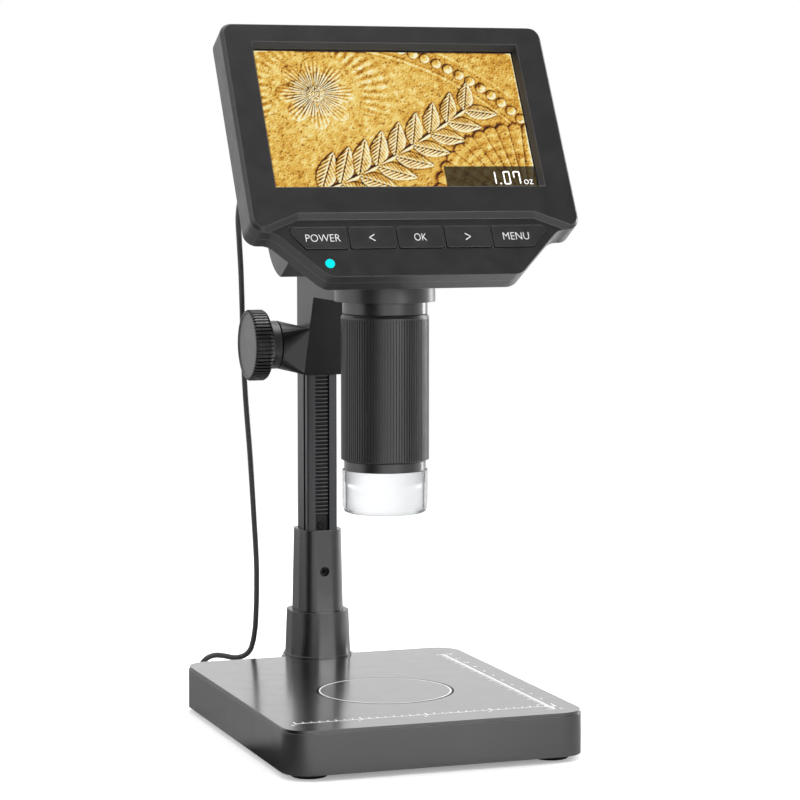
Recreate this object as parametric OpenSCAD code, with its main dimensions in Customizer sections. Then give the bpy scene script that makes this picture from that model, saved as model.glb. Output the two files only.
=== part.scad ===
// Digital microscope with a tilting display on a rack-and-pinion stand.
// Millimetres, +Z up, X to the right, Y away from the user.
// The origin is the centre of the footprint, on the table under the rubber feet.

/* [Base] */
// Width of the base
base_w = 116.5; // [105:0.5:140]
// Depth of the base, front edge to rear edge
base_d = 146; // [138:1:180]
// Corner radius of the base
base_corner_r = 10; // [7:0.5:16]
// Height of the moulded base housing
base_housing_h = 15.3; // [15:0.1:20]
// Wall thickness of the base housing
base_wall = 2.4; // [1.8:0.1:3.2]
// Thickness of the base housing's roof
base_roof_t = 2; // [1.5:0.1:3]
// Thickness of the glossy top plate
top_plate_t = 1.2; // [0.8:0.1:2]
// Margin between the top plate's edge and the housing's edge
top_plate_margin = 0.4; // [0.2:0.1:1.2]
// Thickness of the bottom cover
cover_t = 2; // [1.8:0.1:3]
// Height of the bottom cover that shows under the housing
plinth_h = 0.6; // [0.4:0.1:1.2]
// Radius of the rear lug under the post
lug_r = 15; // [14.8:0.1:20]
// Distance of the post's centre behind the rear edge of the base
post_setback = 3; // [1:0.5:6]
// Radius of a rubber foot
foot_r = 7; // [4:0.5:8]
// Height of a rubber foot
foot_h = 1.5; // [1.2:0.1:4]
// Distance of a foot's centre from the base's edges
foot_inset = 11; // [9:0.5:14]

/* [Scale] */
// Distance of the optical axis behind the front edge
axis_from_front = 63.5; // [60:0.5:70]
// Radius of the round weighing pan
pan_r = 25.9; // [20:0.1:30]
// Gap around the weighing pan
pan_gap = 0.6; // [0.3:0.1:1]
// Radius of the stem under the weighing pan
pan_stem_r = 5.5; // [4:0.5:6]
// Length of the load cell bar
load_cell_l = 48; // [42:1:56]
// Width of the load cell bar
load_cell_w = 12; // [10:0.5:14]
// Height of the load cell bar
load_cell_h = 6.7; // [6:0.1:7.5]
// Size of the scale's circuit board [width, depth]
scale_board_size = [36, 28];
// Thickness of all circuit boards
board_t = 1.4; // [0.8:0.1:1.6]

/* [Post] */
// Width of the post
post_w = 12.8; // [11.5:0.1:13.2]
// Depth of the post
post_d = 14; // [13:0.1:15]
// Length of the post
post_l = 152; // [146:1:170]
// Width of the slot that holds the rack
rack_slot_w = 6; // [5:0.1:6.4]
// Depth of the slot that holds the rack
rack_slot_d = 3.6; // [3.2:0.1:4]
// Width of the guide grooves in the post's sides
guide_w = 2.2; // [1.6:0.1:3]
// Depth of the guide grooves
guide_d = 1.2; // [0.8:0.1:1.4]
// Height of the pedestal collar
collar_h = 18.7; // [14:0.1:22]
// Width of the pedestal collar at its top
pedestal_w = 24; // [23.2:0.1:27.6]
// Depth of the pedestal collar at its top
pedestal_d = 25; // [24.4:0.1:28.2]
// Width of the upper sleeve at its lower end
sleeve_w = 19; // [18.6:0.1:20]
// Depth of the upper sleeve at its lower end
sleeve_d = 20.2; // [19.8:0.1:21]
// How much narrower the upper sleeve is at its top
sleeve_taper = 1.4; // [0:0.1:2]
// Height of the upper sleeve above the collar
sleeve_h = 33.6; // [28:0.1:38]
// Radius of the post's set screw
set_screw_r = 1.9; // [1.25:0.05:2]

/* [Rack drive] */
// Gear module of the rack and its pinion
gear_module = 0.5; // [0.4:0.05:0.55]
// Number of teeth on the pinion
pinion_teeth = 13; // [12:1:14]
// Width of the rack
rack_w = 5.6; // [4.6:0.1:5.8]
// Width of the pinion
pinion_w = 5; // [4:0.1:5.4]
// Length of the toothed part of the rack
rack_l = 94; // [80:1:100]
// Radius of the pinion's shaft
shaft_r = 1.75; // [1.5:0.05:1.8]
// Radius of the focus knob over its ribs
knob_r = 14.3; // [11:0.1:15]
// Length of the knob's ribbed rim
knob_rim_l = 7.8; // [5:0.1:9]
// Length of the knob's collar
knob_collar_l = 4.6; // [3:0.1:6]
// Radius of the knob's collar and of the bracket's boss
boss_r = 9.7; // [8:0.1:10.5]
// Number of ribs on the knob
knob_ribs = 56; // [24:2:60]

/* [Carriage] */
// Height of the carriage's lower end above the table
carriage_z = 134.8; // [132:0.1:142]
// Thickness of the carriage's side walls
carriage_wall = 2; // [1.6:0.1:3]
// Height of the carriage's column
column_h = 52.3; // [46:0.1:54]
// Height of the arm's underside above the carriage's lower end
arm_drop = 32.3; // [30:0.1:34]
// Height of the arm and of the barrel's collar
arm_h = 10; // [9:0.5:12]
// Height of the pinion's axis above the carriage's lower end
pinion_lift = 12.7; // [11.8:0.1:13]
// Clearance between the carriage and the post
slide_gap = 0.2; // [0.15:0.05:0.3]

/* [Barrel] */
// Radius of the bracket's collar round the barrel
ring_collar_r = 19.2; // [18.2:0.1:20]
// Radius of the barrel's neck
neck_r = 16.25; // [15.4:0.05:16.4]
// Length of the neck that shows under the collar
neck_l = 4.9; // [3:0.1:7]
// Radius of the focus ring over its ribs
focus_ring_r = 16.85; // [16.4:0.05:17.4]
// Length of the focus ring
focus_ring_l = 55.8; // [48:0.1:57]
// Number of ribs on the focus ring
focus_ring_ribs = 96; // [60:2:110]
// Outer radius of the barrel's tube
tube_r = 14.6; // [14.2:0.1:14.8]
// Inner radius of the barrel's tube
tube_bore_r = 13.2; // [12.6:0.1:13.4]
// Length of the end ring under the focus ring
end_ring_l = 3.5; // [2:0.1:5]
// Outer radius of the light hood
hood_r = 16.25; // [15.8:0.05:17]
// Height of the light hood
hood_h = 16.2; // [14:0.1:20]
// Wall thickness of the light hood
hood_wall = 1.5; // [1.1:0.1:1.5]
// Radius of the objective lens
lens_r = 8; // [6:0.1:9]

/* [Head] */
// Tilt of the screen back from vertical, in degrees
screen_tilt = 29.5; // [20:0.5:40]
// Width of the head
head_w = 128; // [126:0.5:140]
// Height of the head's screen part
head_h = 87.5; // [84:0.5:94]
// Corner radius of the head
head_corner_r = 5; // [4:0.5:8]
// Width of the frame beside the screen's opening
screen_side = 12.45; // [11.5:0.05:15]
// Height of the frame above the screen's opening
screen_top = 10; // [8.5:0.1:12]
// Height of the frame below the screen's opening
screen_foot = 19.1; // [18:0.1:22]
// Height of the front face above the screen
face_n = 2.7; // [2.2:0.1:3.5]
// Height of the recessed chin panel above the screen
chin_n = 0.7; // [0.5:0.1:1.2]
// Depth of the front bezel's rim behind the screen
seam_n = 4.5; // [4.2:0.1:5]
// Depth of the rear housing's back behind the screen
back_n = 13.2; // [13:0.1:15]
// Width of the rear bevel on the head's back edge
rear_bevel = 3.5; // [2:0.1:4]
// Depth of the chin's back behind the screen
chin_back_n = 10; // [9.8:0.1:11]
// Wall thickness of the head's shells
head_wall = 2; // [1.6:0.1:2.4]
// Height of the chin below the screen part
chin_h = 18.2; // [16:0.1:20]
// Width of the shoulder beside the chin
shoulder_w = 8.8; // [7:0.1:10]
// Corner radius of the chin
chin_r = 7; // [4:0.5:9]
// Radius of the hinge bulge on the head's back
bulge_r = 22.8; // [21:0.1:22.8]
// Width of the hinge bulge
bulge_w = 82.4; // [70:0.2:86]
// Depth of the tilt axis behind the screen
hinge_n = 28.3; // [27.5:0.1:29]
// Distance of the tilt axis below the screen's centre
hinge_u = 26.5; // [25:0.1:28]
// Radius of the tilt pin
tilt_pin_r = 3; // [2:0.1:3.5]

/* [Buttons] */
// Width of the chin left free beside the row of buttons
button_margin = 17.4; // [16.9:0.1:20]
// Space between two buttons
button_space = 1.2; // [1.1:0.1:2]
// Extra width of the first and last button
button_extra = 3.5; // [2.5:0.1:3.8]
// Height of a button
button_h = 8.7; // [7:0.1:9]
// Distance of the buttons' centres below the shoulder
button_below = 2.6; // [2.2:0.1:3.1]
// How far a button stands above the chin panel
button_proud = 0.4; // [0.3:0.1:0.8]
// Clearance round a button
button_gap = 0.3; // [0.2:0.05:0.3]

/* [Hidden] */
$fn = 64;
fit = 0.05;
seat = 0.1;
eps = 0.01;

// Places of the base and the post.
base_front = -(base_d + post_setback + lug_r) / 2;
base_back = base_front + base_d;
base_mid = base_front + base_d / 2;
post_y = base_back + post_setback;
post_front = post_y - post_d / 2;
axis_y = base_front + axis_from_front;
housing_z = foot_h + plinth_h;
cover_top = foot_h + cover_t;
roof_top = housing_z + base_housing_h;
roof_z = roof_top - base_roof_t;
base_top = roof_top + top_plate_t;
base_screw_step = 13;
base_screw_r = 1.4;
base_boss_r = 3.5;
foot_spots = [for (x = [-1, 1], y = [base_front + foot_inset, base_back - foot_inset])
    [x * (base_w / 2 - foot_inset), y]];
base_screw_spots = [for (spot = foot_spots)
    [spot[0], spot[1] + (spot[1] < base_mid ? base_screw_step : -base_screw_step)]];

// Places inside the scale.
pan_travel = 0.4;
stem_gap = pan_travel + seat;
load_cell_z = cover_top + 2.6;
load_cell_top = load_cell_z + load_cell_h;
load_cell_free = 7;
load_cell_foot = 10;
load_cell_screw_r = 1.5;
load_cell_screw_x = load_cell_l - load_cell_free - load_cell_foot / 2;
scale_board_z = cover_top + 3.8;
scale_board_at = [-23.5, base_back - base_wall - 14.4];
socket_w = 9;
socket_h = 5.5;
socket_l = 9;
base_socket_x = -28.5;
base_socket_z = scale_board_z + board_t + socket_h / 2;
plug_body_w = 8;
plug_body_h = 4.6;
plug_tongue_w = 6.4;
plug_tongue_h = 2.2;
plug_tongue_l = 4;
plug_l = 10.9;
boot_l = 4;

// Places of the post and the sleeves.
sleeve_floor_z = base_top + 4.5;
post_z = sleeve_floor_z + 2;
post_top = post_z + post_l;
collar_top = base_top + collar_h;
sleeve_top = collar_top + sleeve_h;
collar_flare = 1.3;
collar_rim = collar_flare + 0.9;
collar_corner_r = 9.7;
sleeve_corner_r = 6.4;
sleeve_top_corner_r = 6.1;
set_screw_z = collar_top + 16.6;
pedestal_screw_x = 8.5;
pedestal_screw_r = 2;
end_cap_t = 2;
guide_y = post_y - 3;

// The rack and its pinion.
pitch = PI * gear_module;
pinion_pitch_r = gear_module * pinion_teeth / 2;
addendum = 0.7 * gear_module;
dedendum = 1.2 * gear_module;
rack_pitch_y = post_front + 1.2;
rack_back_y = post_front + rack_slot_d - seat;
pinion_y = rack_pitch_y - pinion_pitch_r;
pinion_z = carriage_z + pinion_lift;
rack_teeth_z = sleeve_top + 5.2;
rack_z = sleeve_top - 1.8;
rack_top = rack_teeth_z + rack_l;
rack_screw_z = sleeve_top + 1.6;
rack_screw_r = 0.9;
tooth_share = 0.44;
pressure_angle = 20;

// The carriage, its arm and the barrel.
carriage_half_w = post_w / 2 + slide_gap + carriage_wall;
carriage_front = post_front - slide_gap - 2.4;
carriage_back = post_y - 0.5;
arm_z = carriage_z + arm_drop;
arm_top = arm_z + arm_h;
arm_root_y = post_front - 15.7;
column_top = carriage_z + column_h;
ring_z = arm_z + 1.6;
bearing_l = 4;
bush_r = 3;
clip_t = 0.6;
boss_l = 11.2;
barrel_top = arm_top - 2;
focus_ring_top = ring_z - neck_l;
focus_ring_z = focus_ring_top - focus_ring_l;
ring_gap = 0.15;
end_ring_top = focus_ring_z - ring_gap;
hood_top = end_ring_top - end_ring_l;
hood_z = hood_top - hood_h;
tube_z = hood_top - 5;
led_board_z = tube_z - board_t - seat;
lens_cell_z = focus_ring_z + 6;
lens_cell_h = 9;
sensor_ledge_z = focus_ring_z + 38;
sensor_z = sensor_ledge_z + 2 + seat / 2;
knob_back = -carriage_half_w - boss_l - 0.3;
knob_face = knob_back - knob_collar_l - knob_rim_l;

// The head. Its own axes are x, u up the screen and n out of the screen.
hinge_y = axis_y - 2.4;
hinge_z = arm_top + 23.9;
knuckle_r = 9;
knuckle_half_w = 8.6;
knuckle_gap = 0.4;
neck_half_d = 7;
arc_lap = 0.03;
screen_w = head_w - 2 * screen_side;
screen_h = head_h - screen_top - screen_foot;
head_top_u = screen_top + screen_h / 2;
shoulder_u = head_top_u - head_h;
chin_u = shoulder_u - chin_h;
head_mid_u = head_top_u - head_h / 2;
chin_half_w = head_w / 2 - shoulder_w;
chin_foot = chin_half_w - head_wall * sqrt(2) - (chin_h - head_wall);
button_pitch = (2 * chin_half_w - button_margin) / 5;
button_w = button_pitch - button_space;
button_drop = button_below - shoulder_u;
face_bevel = 1.1;
ledge_u = shoulder_u + 5;
ledge_half_w = chin_half_w - 9.2;
ledge_slope = 0.42;
chin_step = face_n - chin_n;
window_t = 1.2;
lcd_n = -window_t - 0.2;
lcd_t = 3;
main_board_n = -5.8;
battery_t = 3.2;
floor_n = -back_n + head_wall;
button_board_n = -5.2;
button_travel = 0.5;
head_screw_r = 1.2;
head_boss_r = 3.2;
window_margin = 2.5;
head_screw_x = screen_w / 2 + window_margin + head_boss_r + 0.5;
head_screw_spots = [for (x = [-1, 1], u = [head_top_u - 8.2, shoulder_u + 8.3]) [x * head_screw_x, u]];
main_board_size = [head_w - 16, screen_h - 4.4];
battery_size = [screen_w * 0.6, screen_h * 0.58];
standoff_spots = [for (x = [-1, 1], u = [1.2 - screen_h / 2, screen_h / 2 - 9.2])
    [x * (screen_w / 2 - 5.5), u]];
bulge_flat = 18;
bulge_wall = 2.4;
tilt_pin_l = 31.6;
led_at = [-chin_foot - 0.13, chin_u + 5.4];
led_r = 1.75;
head_socket_at = [2.25 - screen_w / 2, -6];
head_plug_l = 11;

// Route of the data cord, from the base's plug to the head's plug.
cord_d = 2.2;
cord_sides = 8;
cord_straight = 5;
function head_point(x, u, n) = [
    x,
    hinge_y + (hinge_u + u) * sin(screen_tilt) - (hinge_n + n) * cos(screen_tilt),
    hinge_z + (hinge_u + u) * cos(screen_tilt) + (hinge_n + n) * sin(screen_tilt)
];
function base_end(out) = [base_socket_x, base_back + seat + plug_l + boot_l + out, base_socket_z];
function head_end(out) = head_point(head_socket_at[0], head_socket_at[1], -back_n - head_plug_l - boot_l - out);
cord_lead_in = base_end(-cord_straight);
cord_route = [
    base_end(0), base_end(2.9), [-28.4, 84.8, 10.6], [-28.7, 87, 9.1], [-29.3, 88.3, 7],
    [-30.7, 88.7, 4.6], [-33.2, 88.7, 2.5], [-37.1, 88.1, 1.3], [-40.4, 88, 1.8],
    [-42.9, 88, 3.1], [-44.6, 88.2, 5.4], [-45.2, 88.2, 8.2], [-44.6, 88.5, 11.1],
    [-43.3, 88.2, 13.7], [-41.1, 88.1, 15.6], [-37.9, 88, 16.4], [-34.4, 87.6, 16],
    [-30.4, 87.2, 15.1], [-27.4, 86.4, 15.4], [-25.2, 85.6, 16.6], [-23.8, 84.6, 18.6],
    [-22.9, 83.8, 22], [-22.5, 82.8, 26], [-22.4, 81.4, 31], [-22.4, 79.9, 43],
    [-22.8, 78.7, 57], [-24, 78, 76], [-25.5, 78, 101], [-27, 77.6, 119], [-28.1, 76.8, 133],
    [-29.1, 75, 147], [-30.6, 70.8, 160.7], [-33.2, 62.6, 170.1], [-36.6, 52, 180.1],
    [-40.6, 40, 190.5], [-45.8, 23, 200.9], [-49.3, 5, 210.3], head_end(cord_straight),
    head_end(0)
];
cord_lead_out = head_end(-cord_straight);
cord_joint = 31;
cord_steps = 2;

// ---------- shared shapes ----------

module rounded_rect(w, d, r) {
    square([w - 2 * r, d], center = true);
    square([w, d - 2 * r], center = true);
    for (x = [-1, 1], y = [-1, 1])
        translate([x * (w / 2 - r), y * (d / 2 - r)])
            circle(r);
}

module rounded_block(w, d, h, r) {
    linear_extrude(h)
        rounded_rect(w, d, r);
}

// Cylinder along +X, from x0 to x1.
module rod_x(r, x0, x1) {
    translate([x0, 0, 0])
        rotate([0, 90, 0])
            cylinder(r = r, h = x1 - x0);
}

module at_each(spots) {
    for (spot = spots)
        translate([spot[0], spot[1], 0])
            children();
}

// Screw whose head's underside lies at z = 0 and whose shank points up.
module screw(shank_r, shank_l, head_r, head_h) {
    cylinder(r = shank_r, h = shank_l);
    translate([0, 0, -head_h])
        difference() {
            cylinder(r = head_r, h = head_h);
            translate([0, 0, -eps])
                cylinder(r = shank_r * 0.8, h = head_h / 2, $fn = 6);
        }
}

// Rib and groove outline of a knurled grip: square ribs between two radii.
function grip_points(r, groove, ribs, share) = [
    for (i = [0 : ribs - 1], k = [0 : 3])
        let (a = 360 / ribs * (i + [0, share, share, 1][k]),
             rr = k < 2 ? r : r - groove)
            [rr * cos(a), rr * sin(a)]
];

// ---------- base ----------

module base_outline(inset) {
    translate([0, base_mid])
        rounded_rect(base_w - 2 * inset, base_d - 2 * inset, base_corner_r - inset);
    translate([0, post_y])
        circle(lug_r - inset);
    translate([-(lug_r - inset), base_mid])
        square([2 * (lug_r - inset), post_y - base_mid]);
}

module base_housing() {
    color("#5d5f61")
        difference() {
            union() {
                difference() {
                    translate([0, 0, housing_z])
                        linear_extrude(base_housing_h)
                            base_outline(0);
                    translate([0, 0, housing_z - 1])
                        linear_extrude(base_housing_h - base_roof_t + 1)
                            base_outline(base_wall);
                }
                at_each(base_screw_spots)
                    translate([0, 0, cover_top])
                        cylinder(r = base_boss_r, h = roof_z - cover_top + eps);
                for (x = [-1, 1])
                    translate([x * pedestal_screw_x, post_y, roof_z - 4])
                        cylinder(r = 4, h = 4 + eps);
            }
            translate([0, axis_y, roof_z - 1])
                cylinder(r = pan_r + pan_gap, h = base_roof_t + 2);
            at_each(base_screw_spots)
                translate([0, 0, cover_top - 1])
                    cylinder(r = base_screw_r + fit, h = 9);
            for (x = [-1, 1])
                translate([x * pedestal_screw_x, post_y, roof_z - 5])
                    cylinder(r = pedestal_screw_r + fit, h = base_roof_t + 6);
            translate([base_socket_x - socket_w / 2 - seat, base_back - base_wall - 1,
                       base_socket_z - socket_h / 2 - seat])
                cube([socket_w + 2 * seat, base_wall + 2, socket_h + 2 * seat]);
        }
}

module base_top_plate() {
    color("#3a3c3e")
        difference() {
            translate([0, 0, roof_top])
                linear_extrude(top_plate_t)
                    base_outline(top_plate_margin);
            translate([0, axis_y, roof_top - 1])
                cylinder(r = pan_r + pan_gap, h = top_plate_t + 2);
            for (x = [-1, 1])
                translate([x * pedestal_screw_x, post_y, roof_top - 1])
                    cylinder(r = pedestal_screw_r + fit, h = top_plate_t + 2);
        }
}

module base_bottom_cover() {
    foot_x = load_cell_l - load_cell_free - load_cell_foot;
    color("#2c2e30")
        difference() {
            union() {
                translate([0, 0, foot_h])
                    linear_extrude(cover_t)
                        base_outline(base_wall + seat);
                translate([foot_x, axis_y - load_cell_w / 2, cover_top - eps])
                    cube([load_cell_foot, load_cell_w, load_cell_z - cover_top + eps]);
                translate([scale_board_at[0], scale_board_at[1], cover_top - eps])
                    for (x = [-1, 1], y = [-1, 1])
                        translate([x * (scale_board_size[0] / 2 - 3), y * (scale_board_size[1] / 2 - 3), 0])
                            cylinder(r = 2.2, h = scale_board_z - cover_top + eps);
            }
            at_each(base_screw_spots) {
                translate([0, 0, foot_h - 1])
                    cylinder(r = base_screw_r + fit, h = cover_t + 2);
                translate([0, 0, foot_h - 1])
                    cylinder(r = 2.9, h = 2.4);
            }
            for (y = [-1, 1])
                translate([load_cell_screw_x, axis_y + y * 3, foot_h - 1]) {
                    cylinder(r = load_cell_screw_r + fit, h = 9);
                    cylinder(r = 2.7, h = cover_top - foot_h + 1);
                }
        }
}

module rubber_feet() {
    color("#161616")
        at_each(foot_spots)
            rotate_extrude()
                polygon([[0, 0], [foot_r - 0.6, 0], [foot_r, 0.6], [foot_r, foot_h], [0, foot_h]]);
}

module base_screws() {
    color("silver")
        at_each(base_screw_spots)
            translate([0, 0, foot_h + 1.4 - eps])
                screw(base_screw_r, 7.5, 2.8, 1.2);
}

module load_cell() {
    color("#b9bcc0")
        difference() {
            translate([-load_cell_free, axis_y - load_cell_w / 2, load_cell_z])
                cube([load_cell_l, load_cell_w, load_cell_h]);
            for (x = [-1, 1])
                translate([load_cell_l / 2 - load_cell_free + x * 4.5, axis_y, load_cell_z + load_cell_h / 2])
                    rotate([90, 0, 0])
                        cylinder(r = load_cell_h * 0.34, h = load_cell_w + 2, center = true);
            translate([load_cell_l / 2 - load_cell_free, axis_y, load_cell_z + load_cell_h / 2])
                cube([9, load_cell_w + 2, 1.6], center = true);
            for (y = [-1, 1])
                translate([load_cell_screw_x, axis_y + y * 3, load_cell_z - 1])
                    cylinder(r = load_cell_screw_r + fit, h = 5);
        }
}

module load_cell_screws() {
    color("silver")
        for (y = [-1, 1])
            translate([load_cell_screw_x, axis_y + y * 3, cover_top])
                screw(load_cell_screw_r, load_cell_z - cover_top + 3.5, 2.6, 1.6);
}

module scale_board() {
    color("#1d5c3a")
        translate([scale_board_at[0], scale_board_at[1], scale_board_z]) {
            rounded_block(scale_board_size[0], scale_board_size[1], board_t, 1.5);
            translate([4, -4, board_t - eps])
                linear_extrude(1.2)
                    square([9, 9]);
            translate([-14, -9, board_t - eps])
                linear_extrude(1)
                    square([6, 5]);
        }
}

// Cable socket with its mouth at y = 0, its axis on y and its body towards -y.
module socket_shape() {
    difference() {
        translate([-socket_w / 2, -socket_l, -socket_h / 2])
            cube([socket_w, socket_l, socket_h]);
        translate([-(plug_tongue_w / 2 + seat), -(plug_tongue_l + 0.5), -(plug_tongue_h / 2 + seat)])
            cube([plug_tongue_w + 2 * seat, plug_tongue_l + 1, plug_tongue_h + 2 * seat]);
    }
}

// Cable plug with its shoulder at y = 0, its tongue towards -y and its boot towards +y.
module plug_shape(body_l) {
    translate([-plug_tongue_w / 2, -plug_tongue_l, -plug_tongue_h / 2])
        cube([plug_tongue_w, plug_tongue_l + eps, plug_tongue_h]);
    rotate([-90, 0, 0])
        rounded_block(plug_body_w, plug_body_h, body_l, 1.6);
    translate([0, body_l - eps, 0])
        rotate([-90, 0, 0])
            cylinder(r1 = 2, r2 = cord_d / 2 + 0.3, h = boot_l + eps);
}

module base_socket() {
    color("#9a9da0")
        translate([base_socket_x, base_back, base_socket_z])
            socket_shape();
}

module base_plug() {
    color("#222324")
        translate([base_socket_x, base_back + seat, base_socket_z])
            plug_shape(plug_l);
}

// ---------- pedestal and post ----------

module pedestal_collar() {
    color("#4b4d4f")
        difference() {
            union() {
                translate([0, post_y, base_top])
                    rounded_block(pedestal_w + collar_rim, pedestal_d + collar_rim, 0.7, collar_corner_r + 0.6);
                hull() {
                    translate([0, post_y, base_top])
                        rounded_block(pedestal_w + collar_flare, pedestal_d + collar_flare, eps, collar_corner_r + 0.3);
                    translate([0, post_y, collar_top - eps])
                        rounded_block(pedestal_w, pedestal_d, eps, collar_corner_r);
                }
            }
            translate([0, post_y, sleeve_floor_z])
                rounded_block(sleeve_w + 2 * seat, sleeve_d + 2 * seat, collar_h, sleeve_corner_r + seat);
            for (x = [-1, 1])
                translate([x * pedestal_screw_x, post_y, base_top - 1])
                    cylinder(r = pedestal_screw_r + fit, h = 4.5);
        }
}

module pedestal_screws() {
    color("silver")
        for (x = [-1, 1])
            translate([x * pedestal_screw_x, post_y, roof_z - 4])
                screw(pedestal_screw_r, base_top - roof_z + 7, 3.5, 2.4);
}

module pedestal_sleeve() {
    color("#515355")
        difference() {
            union() {
                translate([0, post_y, sleeve_floor_z])
                    rounded_block(sleeve_w, sleeve_d, collar_top - sleeve_floor_z + eps, sleeve_corner_r);
                hull() {
                    translate([0, post_y, collar_top])
                        rounded_block(sleeve_w, sleeve_d, eps, sleeve_corner_r);
                    translate([0, post_y, sleeve_top - eps])
                        rounded_block(sleeve_w - sleeve_taper, sleeve_d - sleeve_taper, eps, sleeve_top_corner_r);
                }
            }
            translate([0, post_y, post_z])
                linear_extrude(sleeve_top)
                    square([post_w + 2 * seat, post_d + 2 * seat], center = true);
            translate([0, post_front + 1, set_screw_z])
                rotate([90, 0, 0])
                    cylinder(r = set_screw_r + fit, h = 10);
        }
}

module post_set_screw() {
    color("#26282a")
        translate([0, post_front + rack_slot_d - seat, set_screw_z])
            rotate([90, 0, 0])
                difference() {
                    cylinder(r = set_screw_r, h = rack_slot_d + 1);
                    translate([0, 0, rack_slot_d - 0.6])
                        cylinder(r = set_screw_r * 0.5, h = 3, $fn = 6);
                }
}

module post() {
    color("#3f4143")
        difference() {
            translate([0, post_y, post_z])
                rounded_block(post_w, post_d, post_l, 0.8);
            translate([-rack_slot_w / 2, post_front - 1, post_z - 1])
                cube([rack_slot_w, rack_slot_d + 1, post_l + 2]);
            for (x = [-1, 1])
                translate([x * post_w / 2, guide_y, post_z + post_l / 2])
                    cube([2 * guide_d, guide_w, post_l + 2], center = true);
            translate([0, post_front + rack_slot_d - 1, rack_screw_z])
                rotate([-90, 0, 0])
                    cylinder(r = rack_screw_r + fit, h = 5);
        }
}

// Outline of one rack tooth, symmetric about y = 0, with its tip towards -x.
module rack_tooth() {
    half = tooth_share * pitch / 2;
    slant = tan(pressure_angle);
    polygon([
        [-addendum, -(half - addendum * slant)],
        [-addendum, half - addendum * slant],
        [dedendum + eps, half + dedendum * slant],
        [dedendum + eps, -(half + dedendum * slant)]
    ]);
}

module rack() {
    first = ceil((rack_teeth_z + pitch / 2 - pinion_z) / pitch - 0.5);
    last = floor((rack_top - pitch / 2 - pinion_z) / pitch - 0.5);
    color("#1b1c1e")
        difference() {
            union() {
                translate([-rack_w / 2, rack_pitch_y + dedendum, rack_z])
                    cube([rack_w, rack_back_y - rack_pitch_y - dedendum, rack_top - rack_z]);
                translate([-rack_w / 2, rack_pitch_y, pinion_z])
                    rotate([90, 0, 90])
                        linear_extrude(rack_w)
                            for (i = [first : last])
                                translate([0, (i + 0.5) * pitch])
                                    rack_tooth();
            }
            translate([0, rack_pitch_y, rack_screw_z])
                rotate([-90, 0, 0])
                    cylinder(r = rack_screw_r + fit, h = 5);
        }
}

module rack_screw() {
    color("#2a2c2e")
        translate([0, rack_pitch_y + dedendum, rack_screw_z])
            rotate([-90, 0, 0])
                screw(rack_screw_r, 4.5, 1.6, 0.6);
}

module post_end_cap() {
    color("#1f2022")
        union() {
            difference() {
                translate([0, post_y, post_top])
                    rounded_block(post_w, post_d, end_cap_t, 0.8);
                for (x = [-1, 1])
                    translate([x * post_w / 2, guide_y, post_top])
                        cube([2 * guide_d, guide_w, 2 * end_cap_t + 2], center = true);
            }
            translate([-rack_slot_w / 2 + seat, rack_pitch_y + dedendum, rack_top + seat])
                cube([rack_slot_w - 2 * seat, rack_back_y - rack_pitch_y - dedendum,
                      post_top - rack_top - seat + eps]);
        }
}

module weighing_pan() {
    color("#3c3e40")
        union() {
            translate([0, axis_y, roof_top])
                cylinder(r = pan_r, h = top_plate_t);
            translate([0, axis_y, roof_top - 1.6])
                cylinder(r = pan_r - 6, h = 1.6 + eps);
            translate([0, axis_y, load_cell_top + stem_gap])
                cylinder(r = pan_stem_r, h = roof_top - load_cell_top - stem_gap);
        }
}

// ---------- carriage ----------

// Side view of the column and the arm, in y and z.
module bracket_side() {
    polygon([
        [carriage_back, carriage_z],
        [carriage_front, carriage_z],
        [arm_root_y, arm_z],
        [axis_y + neck_r + 1, arm_z],
        [axis_y + neck_r + 1, arm_top],
        [arm_root_y - 24, arm_top],
        [arm_root_y - 4, column_top - 3],
        [arm_root_y + 2, column_top],
        [carriage_back, column_top]
    ]);
}

module bracket_body() {
    front_slope = (carriage_front - arm_root_y) / arm_drop;
    side_low = 0.3;
    side_high = 19.4;
    translate([-carriage_half_w, 0, 0])
        rotate([90, 0, 90])
            linear_extrude(2 * carriage_half_w)
                bracket_side();
    translate([0, axis_y, ring_z])
        cylinder(r = ring_collar_r, h = arm_top - ring_z);
    translate([-knuckle_half_w, hinge_y, 0])
        rotate([90, 0, 90])
            linear_extrude(2 * knuckle_half_w) {
                translate([0, hinge_z])
                    circle(knuckle_r);
                translate([-neck_half_d, arm_top - 1])
                    square([2 * neck_half_d, hinge_z - arm_top + 1]);
                translate([-neck_half_d - 2, arm_top - 1])
                    square([2 * neck_half_d + 4, 3]);
            }
    hull() {
        translate([-carriage_half_w - boss_l, pinion_y, pinion_z])
            rod_x(boss_r, 0, eps, $fn = 32);
        translate([-carriage_half_w, 0, carriage_z])
            rotate([90, 0, 90])
                linear_extrude(1)
                    polygon([[carriage_back - 1, side_low], [carriage_front + 0.4 - side_low * front_slope, side_low],
                             [carriage_front + 0.4 - side_high * front_slope, side_high],
                             [carriage_back - 1, side_high]]);
    }
    translate([carriage_half_w - eps, pinion_y, pinion_z])
        rod_x(bush_r + 3, 0, bearing_l + eps);
}

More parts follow.
